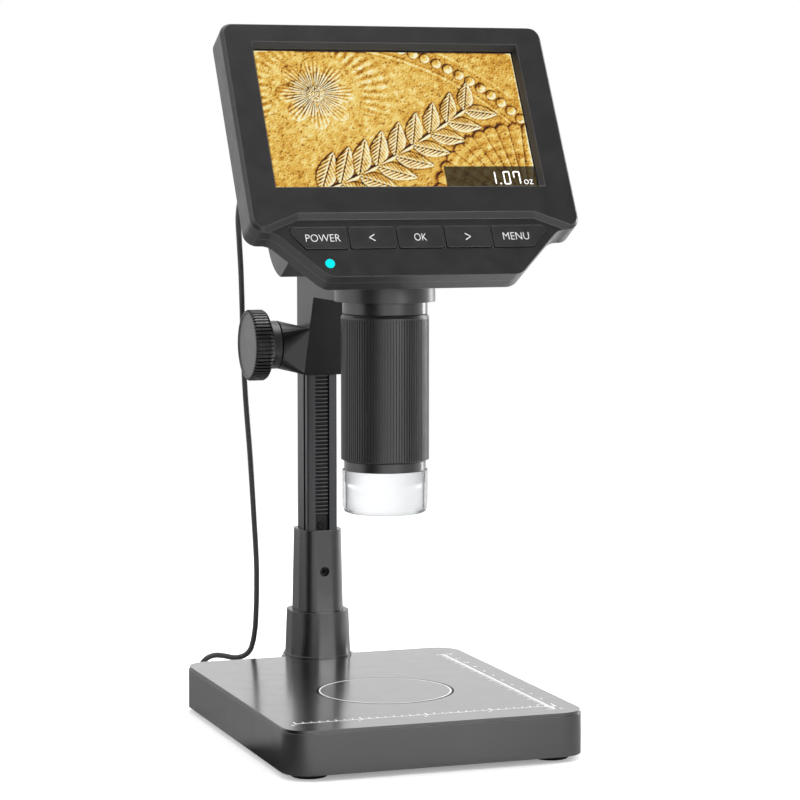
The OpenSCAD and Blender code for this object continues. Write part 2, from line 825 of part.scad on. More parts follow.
module carriage_bracket() {
    color("#4a4c4e")
        difference() {
            bracket_body();
            translate([-post_w / 2 - slide_gap, post_front - slide_gap, carriage_z - 1])
                cube([post_w + 2 * slide_gap, post_d, column_h + 2]);
            translate([0, axis_y, ring_z - 1])
                cylinder(r = neck_r + fit, h = barrel_top - ring_z + 1);
            translate([0, pinion_y, pinion_z]) {
                rod_x(shaft_r + fit, -carriage_half_w - boss_l - 1, carriage_half_w + bearing_l + 1);
                rod_x(pinion_pitch_r + addendum + 0.3, -pinion_w / 2 - 0.3, pinion_w / 2 + 0.3);
                rod_x(bush_r + 0.02, -carriage_half_w - boss_l - 1, -carriage_half_w - 2);
                rod_x(bush_r + 0.02, post_w / 2 + slide_gap, carriage_half_w + bearing_l + 1);
            }
            translate([0, hinge_y, hinge_z])
                rod_x(tilt_pin_r + fit, -knuckle_half_w - 1, knuckle_half_w + 1);
            translate([neck_r, axis_y, ring_z + 4.2])
                rod_x(1.5 + fit, -1, 6);
            translate([-4.5, post_front - slide_gap - 1.2, arm_z + 3])
                cube([9, 2, 12]);
        }
    color("#4a4c4e")
        for (x = [-1, 1])
            translate([x * (post_w / 2 + slide_gap - guide_d / 2 + eps), guide_y, carriage_z + column_h / 2])
                cube([guide_d, guide_w - 2 * slide_gap, column_h], center = true);
}

module slide_pad() {
    color("#d8d4c8")
        translate([-4.4, post_front - slide_gap - 1.1, arm_z + 3.1])
            cube([8.8, 1.15, 11.8]);
}

module bush(x0, x1) {
    difference() {
        rod_x(bush_r, x0, x1);
        rod_x(shaft_r + fit, x0 - 1, x1 + 1);
    }
}

module shaft_bushes() {
    color("#a5813f")
        translate([0, pinion_y, pinion_z]) {
            bush(-carriage_half_w - boss_l, -carriage_half_w - 2 - seat);
            bush(post_w / 2 + slide_gap + seat, carriage_half_w + bearing_l);
        }
}

module barrel_set_screw() {
    color("#303234")
        translate([neck_r + 0.15, axis_y, ring_z + 4.2])
            rod_x(1.5, 0, ring_collar_r - neck_r - 0.6);
}

// ---------- barrel ----------

module barrel_body() {
    color("#454749")
        translate([0, axis_y, 0])
            difference() {
                union() {
                    translate([0, 0, focus_ring_top + ring_gap])
                        rotate_extrude()
                            polygon([[0, 0], [neck_r - 0.2, 0], [neck_r, 0.2],
                                     [neck_r, barrel_top - focus_ring_top - ring_gap - seat],
                                     [0, barrel_top - focus_ring_top - ring_gap - seat]]);
                    translate([0, 0, tube_z])
                        cylinder(r = tube_r, h = focus_ring_top - tube_z + 1);
                }
                translate([0, 0, tube_z - 1])
                    cylinder(r = tube_bore_r, h = sensor_ledge_z - tube_z + 1);
                translate([0, 0, sensor_ledge_z - 1])
                    cylinder(r = tube_bore_r - 2.5, h = 5);
                translate([0, 0, sensor_ledge_z + 2])
                    cylinder(r = tube_bore_r, h = barrel_top);
            }
}

module barrel_end_ring() {
    color("#4a4c4e")
        translate([0, axis_y, hood_top])
            difference() {
                rotate_extrude()
                    polygon([[0, 0], [focus_ring_r - 1.25, 0], [focus_ring_r - 1.25, end_ring_l - 0.1],
                             [focus_ring_r - 1.35, end_ring_l], [0, end_ring_l]]);
                translate([0, 0, -1])
                    cylinder(r = tube_r + fit, h = end_ring_l + 2);
            }
}

module led_board() {
    leds = 8;
    color("#e8e8e4")
        translate([0, axis_y, led_board_z]) {
            difference() {
                cylinder(r = tube_r - 0.4, h = board_t);
                translate([0, 0, -1])
                    cylinder(r = lens_r + 0.5, h = board_t + 2);
            }
            for (i = [0 : leds - 1])
                rotate([0, 0, i * 360 / leds])
                    translate([(tube_r + lens_r) / 2 + 0.2, 0, -0.8 + eps / 2])
                        cylinder(r = 1.4, h = 0.8);
        }
}

module sensor_board() {
    color("#1d5c3a")
        translate([0, axis_y, sensor_z]) {
            cylinder(r = tube_bore_r - 0.2, h = board_t);
            translate([-4, -4, -1.2])
                cube([8, 8, 1.2 + eps]);
        }
}

module light_hood() {
    color("#f1f2f2")
        translate([0, axis_y, hood_z])
            difference() {
                rotate_extrude()
                    polygon([[0, 0], [hood_r - 1.4, 0], [hood_r - 0.7, 0.4], [hood_r - 0.35, 1.4],
                             [hood_r - 0.1, 2.8], [hood_r, 4], [hood_r, hood_h], [0, hood_h]]);
                translate([0, 0, 1.4])
                    cylinder(r = hood_r - hood_wall - 0.4, h = hood_h);
                translate([0, 0, hood_h - (hood_top - tube_z)])
                    cylinder(r = tube_r + fit, h = hood_h);
                translate([0, 0, -1])
                    cylinder(r = hood_r - 4.2, h = hood_h);
            }
}

// ---------- focus knob and pinion ----------

module focus_knob() {
    color("#2d2f31")
        translate([0, pinion_y, pinion_z])
            difference() {
                union() {
                    intersection() {
                        translate([knob_face, 0, 0])
                            rotate([0, 90, 0])
                                linear_extrude(knob_rim_l)
                                    polygon(grip_points(knob_r, 0.8, knob_ribs, 0.55));
                        translate([knob_face, 0, 0])
                            rotate([0, 90, 0])
                                rotate_extrude()
                                    polygon([[0, 0.5], [knob_r - 1.6, 0.5], [knob_r - 1.2, 0],
                                             [knob_r - 0.5, 0.2], [knob_r + eps, 0.9],
                                             [knob_r + eps, knob_rim_l - 1.6],
                                             [knob_r - 0.6, knob_rim_l - 0.6],
                                             [knob_r - 1.8, knob_rim_l], [0, knob_rim_l]]);
                    }
                    translate([knob_face + knob_rim_l - eps, 0, 0])
                        rotate([0, 90, 0])
                            rotate_extrude()
                                polygon([[0, 0], [boss_r + 0.9, 0], [boss_r, 1.2],
                                         [boss_r, knob_collar_l - 0.3], [boss_r - 0.3, knob_collar_l + eps],
                                         [0, knob_collar_l + eps]]);
                }
                rod_x(shaft_r + 0.02, knob_face + 2.2, knob_back + 1);
            }
}

function involute(base_r, a) = [
    base_r * (cos(a) + a * PI / 180 * sin(a)),
    base_r * (sin(a) - a * PI / 180 * cos(a))
];
function turned(p, a) = [p[0] * cos(a) - p[1] * sin(a), p[0] * sin(a) + p[1] * cos(a)];
function mirrored(p) = [p[0], -p[1]];

// Outline of the pinion: involute flanks on a base circle, tooth 0 along +x.
module pinion_outline() {
    base_r = pinion_pitch_r * cos(pressure_angle);
    tip_r = pinion_pitch_r + addendum;
    root_r = pinion_pitch_r - dedendum;
    tip_a = sqrt(pow(tip_r / base_r, 2) - 1) * 180 / PI;
    pitch_a = sqrt(pow(pinion_pitch_r / base_r, 2) - 1) * 180 / PI;
    at_pitch = involute(base_r, pitch_a);
    half_a = 360 / pinion_teeth * tooth_share / 2 + atan2(at_pitch[1], at_pitch[0]);
    flank = [for (i = [0 : 4]) turned(involute(base_r, tip_a * i / 4), -half_a)];
    root = turned([root_r, 0], -half_a);
    tooth = concat([root], flank, [for (i = [4 : -1 : 0]) mirrored(flank[i])], [mirrored(root)]);
    polygon([for (k = [0 : pinion_teeth - 1], p = tooth) turned(p, k * 360 / pinion_teeth)]);
}

module pinion_shaft() {
    clip_x = carriage_half_w + bearing_l + seat;
    color("#c2c5c8")
        translate([0, pinion_y, pinion_z])
            union() {
                rod_x(shaft_r, knob_face + 2.4, clip_x);
                rod_x(shaft_r - 0.4, clip_x - eps, clip_x + clip_t + 0.1);
                rod_x(shaft_r, clip_x + clip_t + 0.1 - eps, clip_x + clip_t + 0.9);
                translate([-pinion_w / 2, 0, 0])
                    rotate([90, 0, 90])
                        linear_extrude(pinion_w)
                            pinion_outline();
            }
}

module shaft_clip() {
    color("#8f9296")
        translate([carriage_half_w + bearing_l + seat + 0.05, pinion_y, pinion_z])
            difference() {
                rod_x(shaft_r + 1.4, 0, clip_t);
                rod_x(shaft_r - 0.35, -1, clip_t + 1);
                translate([-1, -(shaft_r - 0.5), -(shaft_r + 3)])
                    cube([clip_t + 2, 2 * (shaft_r - 0.5), shaft_r + 3]);
            }
}

// ---------- focus ring and lens ----------

module focus_ring() {
    rib_z = 0.5;
    rib_top = focus_ring_l - 1.6;
    groove = 0.4;
    color("#3d3f41")
        translate([0, axis_y, focus_ring_z])
            difference() {
                union() {
                    rotate_extrude()
                        polygon([[0, 0], [focus_ring_r - 0.9, 0],
                                 [focus_ring_r - groove - 0.1, rib_z - 0.1],
                                 [focus_ring_r - groove - 0.1, rib_z], [0, rib_z]]);
                    translate([0, 0, rib_z])
                        linear_extrude(rib_top - rib_z)
                            polygon(grip_points(focus_ring_r - 0.05, groove, focus_ring_ribs, 0.5));
                    translate([0, 0, rib_top])
                        rotate_extrude()
                            polygon([[0, 0], [focus_ring_r, 0], [focus_ring_r, focus_ring_l - rib_top - 1.1],
                                     [focus_ring_r - 0.6, focus_ring_l - rib_top],
                                     [0, focus_ring_l - rib_top]]);
                }
                translate([0, 0, -1])
                    cylinder(r = tube_r + fit, h = focus_ring_l + 2);
            }
}

module lens_cell() {
    color("#2b2d2f")
        translate([0, axis_y, lens_cell_z])
            difference() {
                cylinder(r = tube_bore_r - fit, h = lens_cell_h);
                translate([0, 0, -1])
                    cylinder(r = lens_r - 0.8, h = lens_cell_h + 2);
                translate([0, 0, 2])
                    cylinder(r = lens_r + fit, h = lens_cell_h);
            }
}

module objective_lens() {
    cap_r = 22;
    mid_t = 3;
    sag = cap_r - sqrt(cap_r * cap_r - lens_r * lens_r);
    color("#bcd3dc")
        translate([0, axis_y, lens_cell_z + 2 + seat / 2 + sag])
            union() {
                cylinder(r = lens_r, h = mid_t);
                for (up = [0, 1])
                    translate([0, 0, up * mid_t])
                        mirror([0, 0, 1 - up])
                            intersection() {
                                translate([0, 0, sag - cap_r])
                                    sphere(cap_r);
                                translate([0, 0, -eps])
                                    cylinder(r = lens_r, h = sag + 1);
                            }
            }
}

// ---------- head ----------

module in_head() {
    translate([0, hinge_y, hinge_z])
        rotate([90 - screen_tilt, 0, 0])
            translate([0, hinge_u, hinge_n])
                children();
}

module screen_part(inset) {
    translate([0, head_mid_u])
        rounded_rect(head_w - 2 * inset, head_h - 2 * inset, head_corner_r - min(inset, head_corner_r - 1));
}

// Chin below the screen part: 45 degree sides, round lower corners.
module chin_part(inset) {
    low = chin_u + inset + arc_lap;
    r = max(chin_r - inset, 1);
    half = chin_half_w - inset * sqrt(2);
    foot = half - (chin_h - inset);
    bite = r * tan(22.5);
    polygon([
        [-half, shoulder_u + head_corner_r + 2], [half, shoulder_u + head_corner_r + 2],
        [half, shoulder_u], [foot + bite * cos(45), low + bite * sin(45)], [foot - bite, low],
        [-(foot - bite), low], [-(foot + bite * cos(45)), low + bite * sin(45)], [-half, shoulder_u]
    ]);
    for (x = [-1, 1])
        translate([x * (foot - bite), low + r])
            circle(r + arc_lap);
}

// Hollow fillet between the shoulder and the chin.
module chin_fillet() {
    r = 7;
    bite = r * tan(22.5);
    difference() {
        polygon([
            [chin_half_w - 4, shoulder_u + 1], [chin_half_w + bite, shoulder_u + 1],
            [chin_half_w + bite, shoulder_u],
            [chin_half_w - bite * cos(45), shoulder_u - bite * sin(45)]
        ]);
        translate([chin_half_w + bite, shoulder_u - r])
            circle(r + arc_lap);
    }
}

module head_outline() {
    screen_part(0);
    chin_part(0);
    for (x = [0, 1])
        mirror([x, 0])
            chin_fillet();
}

// Area of the sunk chin panel, whose upper edge lies lift above its lower line.
module chin_panel(lift) {
    side = head_w / 2 + 10;
    polygon([
        [-ledge_half_w, ledge_u + lift], [ledge_half_w, ledge_u + lift],
        [side, ledge_u + lift - (side - ledge_half_w) * ledge_slope],
        [side, chin_u - 10], [-side, chin_u - 10],
        [-side, ledge_u + lift - (side - ledge_half_w) * ledge_slope]
    ]);
}

// Outline of button i, counted from 0 at the left, grown by a margin.
module button_outline(i, margin) {
    outer = abs(i - 2) == 2;
    side = i < 2 ? -1 : 1;
    half = button_w / 2 + margin;
    half_h = button_h / 2 + margin;
    cut = button_h * 0.575;
    translate([(i - 2) * button_pitch, -button_drop])
        if (outer) {
            mirror([side < 0 ? 1 : 0, 0])
                polygon([
                    [-half, half_h], [half + button_extra - 0.8, half_h],
                    [half + button_extra, half_h - 0.8], [half + button_extra, half_h - 2.4],
                    [half + button_extra - cut, -half_h], [-half, -half_h]
                ]);
        } else {
            rounded_rect(2 * half, 2 * half_h, 0.9);
        }
}

module front_bezel() {
    color("#3b3c3e")
        in_head()
            difference() {
                union() {
                    translate([0, 0, -seam_n])
                        linear_extrude(seam_n + chin_n)
                            head_outline();
                    hull() {
                        translate([0, 0, chin_n - 0.2])
                            linear_extrude(0.6)
                                screen_part(0);
                        translate([0, 0, face_n - eps])
                            linear_extrude(eps)
                                screen_part(face_bevel);
                    }
                }
                hull() {
                    translate([0, 0, chin_n])
                        linear_extrude(eps)
                            chin_panel(0);
                    translate([0, 0, face_n + 0.1])
                        linear_extrude(eps)
                            chin_panel(chin_step);
                }
                hull() {
                    translate([0, 0, face_n + eps])
                        cube([screen_w + 2.4, screen_h + 3.2, eps], center = true);
                    cube([screen_w, screen_h, eps], center = true);
                }
                translate([0, 0, -seam_n / 2])
                    cube([screen_w, screen_h, seam_n + 2], center = true);
                translate([0, 0, -seam_n - 1]) {
                    linear_extrude(seam_n + 1)
                        screen_part(head_wall);
                    linear_extrude(seam_n + 1 + chin_n - head_wall)
                        chin_part(head_wall);
                }
                for (i = [0 : 4])
                    translate([0, 0, -seam_n])
                        linear_extrude(seam_n + 2)
                            button_outline(i, button_gap);
                translate([led_at[0], led_at[1], -3])
                    cylinder(r = led_r + fit, h = 5);
            }
    color("#3b3c3e")
        in_head() {
            at_each(head_screw_spots)
                translate([0, 0, -seam_n + seat])
                    difference() {
                        cylinder(r = head_boss_r, h = seam_n - seat + eps);
                        translate([0, 0, -1])
                            cylinder(r = head_screw_r + fit, h = 4.4);
                    }
            for (x = [-1, 0, 1])
                translate([x * 22, chin_u + 5.2, button_board_n + seat])
                    cylinder(r = 1.8, h = chin_n - head_wall - button_board_n - seat + eps);
        }
}

module rear_shell_outside() {
    translate([0, 0, -chin_back_n])
        linear_extrude(chin_back_n - seam_n - eps)
            head_outline();
    hull() {
        translate([0, 0, -back_n + rear_bevel])
            linear_extrude(0.4)
                screen_part(0);
        translate([0, 0, -back_n])
            linear_extrude(eps)
                screen_part(rear_bevel);
    }
    intersection() {
        translate([0, -hinge_u, -hinge_n])
            rod_x(bulge_r, -bulge_w / 2, bulge_w / 2);
        translate([-bulge_w, -hinge_u - bulge_flat, -2 * back_n - 2 * hinge_n + floor_n])
            cube([2 * bulge_w, 100, 2 * back_n + 2 * hinge_n]);
    }
}

module rear_housing() {
    half = knuckle_half_w + knuckle_gap;
    color("#454648")
        in_head()
            difference() {
                union() {
                    difference() {
                        rear_shell_outside();
                        translate([0, 0, floor_n])
                            linear_extrude(back_n)
                                screen_part(head_wall);
                        translate([0, 0, -chin_back_n + head_wall])
                            linear_extrude(back_n)
                                chin_part(head_wall);
                        for (x = [0, 1])
                            mirror([x, 0, 0])
                                intersection() {
                                    translate([0, -hinge_u, -hinge_n])
                                        rod_x(bulge_r - bulge_wall, half + bulge_wall,
                                              bulge_w / 2 - bulge_wall);
                                    translate([0, -hinge_u - bulge_flat + bulge_wall, -80])
                                        cube([bulge_w, 100, 80 + floor_n + 1]);
                                }
                    }
                    for (x = [0, 1])
                        mirror([x, 0, 0])
                            translate([0, -hinge_u, -hinge_n])
                                rod_x(tilt_pin_r + 3, half, tilt_pin_l / 2 + 1.6);
                    at_each(head_screw_spots)
                        translate([0, 0, floor_n - eps])
                            cylinder(r = head_boss_r, h = -seam_n - floor_n);
                    at_each(standoff_spots)
                        translate([0, 0, floor_n - eps])
                            cylinder(r = 2.4, h = main_board_n - board_t - floor_n);
                }
                at_each(head_screw_spots) {
                    translate([0, 0, -back_n - 1])
                        cylinder(r = head_screw_r + fit, h = back_n);
                    translate([0, 0, -back_n - 1])
                        cylinder(r = 2.6, h = 4.2);
                }
                translate([0, -hinge_u, -hinge_n]) {
                    rod_x(tilt_pin_r + 0.02, -tilt_pin_l / 2 - 0.2, tilt_pin_l / 2 + 0.2);
                    rod_x(knuckle_r + knuckle_gap, -half, half);
                    translate([-half, -40, hinge_n - back_n - 1.8 - 60])
                        cube([2 * half, 46, 60]);
                }
                translate([head_socket_at[0] - socket_w / 2 - seat, head_socket_at[1] - socket_h / 2 - seat,
                           -back_n - 1])
                    cube([socket_w + 2 * seat, socket_h + 2 * seat, head_wall + 2]);
            }
}

module screen_window() {
    color("#20262b")
        in_head()
            translate([0, 0, -window_t - fit])
                linear_extrude(window_t)
                    rounded_rect(screen_w + 2 * window_margin, screen_h + 4, 1);
}

module lcd_panel() {
    color("#c39a3e")
        in_head()
            translate([0, 0, lcd_n - lcd_t])
                linear_extrude(lcd_t)
                    rounded_rect(screen_w + 4, screen_h + 6, 0.8);
}

module main_board() {
    color("#1d5c3a")
        in_head()
            difference() {
                union() {
                    translate([0, -4, main_board_n - board_t + seat])
                        rounded_block(main_board_size[0], main_board_size[1], board_t, 2);
                    translate([24, -2, main_board_n - eps + seat])
                        linear_extrude(1)
                            square([14, 14]);
                    translate([-20, 6, main_board_n - eps + seat])
                        linear_extrude(0.9)
                            square([10, 8]);
                }
                at_each(standoff_spots)
                    translate([0, 0, -10])
                        cylinder(r = 1.2, h = 8);
            }
}

module battery() {
    color("#6f8fae")
        in_head()
            translate([0, 4, floor_n + seat])
                rounded_block(battery_size[0], battery_size[1], battery_t, 2);
}

module status_led() {
    color("#19f0f0")
        in_head()
            translate([led_at[0], led_at[1], 0]) {
                translate([0, 0, button_board_n + seat])
                    cylinder(r = led_r, h = chin_n - button_board_n - seat + 0.2);
                translate([0, 0, button_board_n + seat])
                    cylinder(r = led_r + 0.35, h = 1.2);
            }
}

module button_board() {
    color("#1d5c3a")
        in_head()
            translate([0, 0, button_board_n - board_t]) {
                translate([-2 * button_pitch - 5.8, -button_drop - 5, 0])
                    cube([4 * button_pitch + 11.6, 9.5, board_t]);
                translate([-chin_foot - 1.4, chin_u + 4, 0])
                    cube([2 * chin_foot + 2.8, -button_drop - chin_u - 8, board_t]);
                for (i = [-2 : 2])
                    translate([i * button_pitch - 2, -button_drop - 2, board_t - eps])
                        cube([4, 4, 1.6]);
            }
}

module head_screws() {
    color("silver")
        in_head()
            at_each(head_screw_spots)
                translate([0, 0, -back_n + 3.2])
                    screw(head_screw_r, 8.6, 2.4, 1.6);
}

module tilt_pin() {
    color("#c2c5c8")
        in_head()
            translate([0, -hinge_u, -hinge_n])
                rod_x(tilt_pin_r, -tilt_pin_l / 2, tilt_pin_l / 2);
}

module head_socket() {
    color("#9a9da0")
        in_head()
            translate([head_socket_at[0], head_socket_at[1], -back_n])
                rotate([-90, 0, 0])
                    socket_shape_short();
}

// Flat socket on the main board's back.
module socket_shape_short() {
    depth = back_n + main_board_n - board_t;
    difference() {
        translate([-socket_w / 2, -depth, -socket_h / 2])
            cube([socket_w, depth, socket_h]);
        translate([-(plug_tongue_w / 2 + seat), -(plug_tongue_l + 0.5), -(plug_tongue_h / 2 + seat)])
            cube([plug_tongue_w + 2 * seat, plug_tongue_l + 1, plug_tongue_h + 2 * seat]);
    }
}

module head_plug() {
    color("#222324")
        in_head()
            translate([head_socket_at[0], head_socket_at[1], -back_n - seat])
                rotate([-90, 0, 0])
                    plug_shape(head_plug_l - seat);
}

// Button i with its cap through the chin panel, a flange behind it and a stem.
module button(i) {
    inner = chin_n - head_wall;
    in_head() {
        translate([0, 0, inner - 1])
            linear_extrude(chin_n + button_proud - inner + 1)
                button_outline(i, 0);
        translate([0, 0, inner - 1])
            linear_extrude(0.8)
                button_outline(i, button_gap + 0.2);
        translate([(i - 2) * button_pitch, -button_drop, button_board_n + 1.6 + button_travel + seat])
            cylinder(r = 1.5, h = inner - 1 - button_board_n - 1.6 - button_travel - seat + eps);
    }
}

module power_button() {
    color("#434446") button(0);
}

module left_button() {
    color("#434446") button(1);
}

module ok_button() {
    color("#434446") button(2);
}

module right_button() {
    color("#434446") button(3);
}

module menu_button() {
    color("#434446") button(4);
}

// ---------- cord ----------

function catmull(p, t) =
    let (t2 = t * t, t3 = t2 * t)
        0.5 * ((2 * p[1]) + (p[2] - p[0]) * t + (2 * p[0] - 5 * p[1] + 4 * p[2] - p[3]) * t2
               + (3 * p[1] - p[0] - 3 * p[2] + p[3]) * t3);
function route_all() = concat([cord_lead_in], cord_route, [cord_lead_out]);
function span(i) = let (r = route_all()) [r[i], r[i + 1], r[i + 2], r[i + 3]];
function stretch_points(from, to) = concat(
    [for (i = [from : to - 1], k = [0 : cord_steps - 1]) catmull(span(i), k / cord_steps)],
    [cord_route[to]]
);
function end_tangent(i) = let (r = route_all()) unit(r[i + 2] - r[i]);
function unit(v) = v / norm(v);
function tangent_at(points, i, from, to) =
    i == 0 ? end_tangent(from)
    : i == len(points) - 1 ? end_tangent(to)
    : unit(points[i + 1] - points[i - 1]);
function carried(side, t) = unit(side - t * (side * t));
function sides_along(tangents, side, i) =
    i == len(tangents) ? []
    : let (s = carried(side, tangents[i])) concat([s], sides_along(tangents, s, i + 1));

// Round tube swept along the route's points from index "from" to index "to".
module cord_tube(from, to) {
    points = stretch_points(from, to);
    tangents = [for (i = [0 : len(points) - 1]) tangent_at(points, i, from, to)];
    sides = sides_along(tangents, carried([1, 0.2, 0.1], tangents[0]), 0);
    rings = len(points);
    verts = [for (i = [0 : rings - 1], k = [0 : cord_sides - 1])
        let (a = 360 / cord_sides * k)
            points[i] + cord_d / 2 * (sides[i] * cos(a) + cross(tangents[i], sides[i]) * sin(a))];
    walls = [for (i = [0 : rings - 2], k = [0 : cord_sides - 1])
        let (n = (k + 1) % cord_sides, a = i * cord_sides)
            [a + k, a + n, a + cord_sides + n, a + cord_sides + k]];
    first_cap = [[for (k = [0 : cord_sides - 1]) cord_sides - 1 - k]];
    last_cap = [[for (k = [0 : cord_sides - 1]) (rings - 1) * cord_sides + k]];
    polyhedron(verts, [for (f = concat(walls, first_cap, last_cap)) [for (k = [len(f) - 1 : -1 : 0]) f[k]]]);
}

module cord_lower() {
    color("#2a2b2d")
        cord_tube(0, cord_joint);
}

module cord_upper() {
    color("#2a2b2d")
        cord_tube(cord_joint, len(cord_route) - 1);
}

base_housing();
base_top_plate();
base_bottom_cover();
rubber_feet();
base_screws();
load_cell();
load_cell_screws();
scale_board();
base_socket();
pedestal_collar();
pedestal_screws();
pedestal_sleeve();
post_set_screw();
post();
rack();
rack_screw();
post_end_cap();
weighing_pan();
carriage_bracket();
slide_pad();
shaft_bushes();
barrel_set_screw();
barrel_body();
barrel_end_ring();
led_board();
sensor_board();
light_hood();
focus_knob();
pinion_shaft();
shaft_clip();
focus_ring();
lens_cell();
objective_lens();
front_bezel();
rear_housing();
screen_window();
lcd_panel();
main_board();
battery();
status_led();
button_board();
head_screws();
tilt_pin();
head_socket();
power_button();
left_button();
ok_button();
right_button();
menu_button();
base_plug();
head_plug();
cord_lower();
cord_upper();
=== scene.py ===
"""Finish and studio for a digital microscope with a tilting screen on a weighing base.

The solid parts come from model.glb. This file gives them their surfaces and adds the printed marks,
the lettering, the picture on the screen and the lead.
"""

import math

import bpy
import numpy as np
from mathutils import Matrix, Vector


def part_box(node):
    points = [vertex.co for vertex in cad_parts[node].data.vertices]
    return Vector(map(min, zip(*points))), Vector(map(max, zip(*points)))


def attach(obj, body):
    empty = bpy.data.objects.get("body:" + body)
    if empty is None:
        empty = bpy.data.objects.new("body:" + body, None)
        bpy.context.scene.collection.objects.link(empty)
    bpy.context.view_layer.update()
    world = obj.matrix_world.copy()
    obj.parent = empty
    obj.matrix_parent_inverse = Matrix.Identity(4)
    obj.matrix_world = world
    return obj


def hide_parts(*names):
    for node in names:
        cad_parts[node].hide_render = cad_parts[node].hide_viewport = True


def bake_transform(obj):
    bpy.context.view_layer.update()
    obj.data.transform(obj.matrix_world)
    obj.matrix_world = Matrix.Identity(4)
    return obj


bl_info = {
    "name": "Digital Microscope Finish",
    "version": (1, 0, 0),
    "blender": (4, 5, 0),
    "location": "View3D > Sidebar > Microscope",
    "description": "Surfaces, marks, screen picture and studio for a digital microscope",
    "category": "Object",
}

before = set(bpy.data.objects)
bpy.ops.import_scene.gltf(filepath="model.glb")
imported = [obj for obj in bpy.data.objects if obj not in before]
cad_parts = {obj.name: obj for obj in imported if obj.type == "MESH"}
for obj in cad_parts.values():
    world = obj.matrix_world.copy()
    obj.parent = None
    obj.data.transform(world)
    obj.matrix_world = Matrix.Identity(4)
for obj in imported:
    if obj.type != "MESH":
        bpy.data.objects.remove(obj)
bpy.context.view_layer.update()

MM = 0.001
TILT = math.radians(29.5)
GLASS_LIFT = 2.9 * MM  # from the middle of the panel to the front of the window
UP_SCREEN = Vector((0.0, math.sin(TILT), math.cos(TILT)))
OUT_OF_SCREEN = Vector((0.0, -math.cos(TILT), math.sin(TILT)))


def middle_of(node):
    """Return the middle of a node's box."""
    low, high = (Vector(corner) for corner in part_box(node))
    return (low + high) / 2


def head_place():
    """Return the frame of the screen: X across, Y up the screen, Z out of it, at the glass."""
    centre = middle_of("lcd_panel") + OUT_OF_SCREEN * GLASS_LIFT
    columns = (Vector((1, 0, 0)), UP_SCREEN, OUT_OF_SCREEN)
    turn = Matrix([[c[row] for c in columns] for row in range(3)]).to_4x4()
    return Matrix.Translation(centre) @ turn


HEAD = head_place()
SCREEN_W = 103.1 * MM
SCREEN_H = 58.4 * MM
PLATE_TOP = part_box("base_top_plate")[1][2]
PAN_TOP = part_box("weighing_pan")[1][2]
PAN_CENTRE = middle_of("weighing_pan")
INK_GAP = 0.01 * MM  # under the printed marks, so that no two faces share a plane
QUARTER_TURN = Matrix.Rotation(math.pi / 2, 4, "Z")
FLAT = Matrix.Identity(4)


# ---------------------------------------------------------------- settings


def colour_setting(name, description, default):
    """Return a colour property."""
    return bpy.props.FloatVectorProperty(
        name=name,
        description=description,
        default=default,
        subtype="COLOR",
        size=3,
        min=0.0,
        max=1.0,
    )


def length_setting(name, description, default):
    """Return a length property, given in metres."""
    return bpy.props.FloatProperty(
        name=name,
        description=description,
        default=default,
        min=0.0,
        unit="LENGTH",
        precision=5,
    )


def power_setting(name, description, default):
    """Return a lamp's power property, given in watts."""
    return bpy.props.FloatProperty(
        name=name,
        description=description,
        default=default,
        min=0.0,
        unit="POWER",
    )


class MicroscopeColours(bpy.types.PropertyGroup):
    """Colours of the microscope's own surfaces."""

    casing: colour_setting("Casing", "Plastic of the screen's case", (0.022, 0.022, 0.0225))
    base: colour_setting("Base", "Plastic of the weighing base", (0.022, 0.022, 0.0225))
    plate: colour_setting("Plate", "Glossy plate on the base", (0.008, 0.008, 0.0082))
    stand: colour_setting("Stand", "Pedestal, carriage and post", (0.010, 0.010, 0.0102))
    barrel: colour_setting("Barrel", "Barrel and focus ring", (0.016, 0.016, 0.0163))
    knob: colour_setting("Knob", "Height knob", (0.034, 0.034, 0.0347))
    hood: colour_setting("Hood", "Frosted light hood", (0.86, 0.87, 0.88))
    lead: colour_setting("Lead", "Sheath of the lead", (0.035, 0.035, 0.036))
    marks: colour_setting("Marks", "Printed rulers and legends", (0.80, 0.80, 0.80))
    led: colour_setting("Status light", "Glow of the status light", (0.0, 0.87, 0.90))


class MicroscopeSizes(bpy.types.PropertyGroup):
    """Sizes of the printed marks and of the picture."""

    ink: length_setting("Ink", "Thickness of the printed marks", 0.03 * MM)
    rule_line: length_setting("Ruler line", "Width of the ruler's ticks", 0.32 * MM)
    legend_lift: length_setting("Legend lift", "Height of the legends over the buttons", 0.02 * MM)
    pan_line: length_setting("Pan line", "Width of the white line on the pan", 0.45 * MM)
    picture_cells: bpy.props.IntProperty(
        name="Picture cells",
        description="Cells of the picture across the screen",
        default=380,
        min=60,
        max=400,
    )


class MicroscopeStudio(bpy.types.PropertyGroup):
    """Floor and lamps."""

    floor_size: length_setting("Floor size", "Distance across the floor", 16.0)
    key: power_setting("Key lamp", "Power of the left lamp", 15.0)
    front: power_setting("Front lamp", "Power of the front lamp", 9.0)
    rim: power_setting("Rim lamp", "Power of the right lamp", 12.0)
    strip: power_setting("Strip lamp", "Power of the thin lamp at the right", 1.4)
    top: power_setting("Top lamp", "Power of the top lamp", 12.0)
    sky: bpy.props.FloatProperty(
        name="Room light",
        description="Strength of the room's light",
        default=0.45,
        min=0.0,
        max=2.0,
        subtype="FACTOR",
    )


# ---------------------------------------------------------------- mesh helpers


def deselect():
    """Leave edit mode and deselect everything."""
    if bpy.context.object is not None and bpy.context.object.mode != "OBJECT":
        bpy.ops.object.mode_set(mode="OBJECT")
    bpy.ops.object.select_all(action="DESELECT")


def pick(obj):
    """Make obj the only selected and the active object."""
    deselect()
    obj.select_set(True)
    bpy.context.view_layer.objects.active = obj


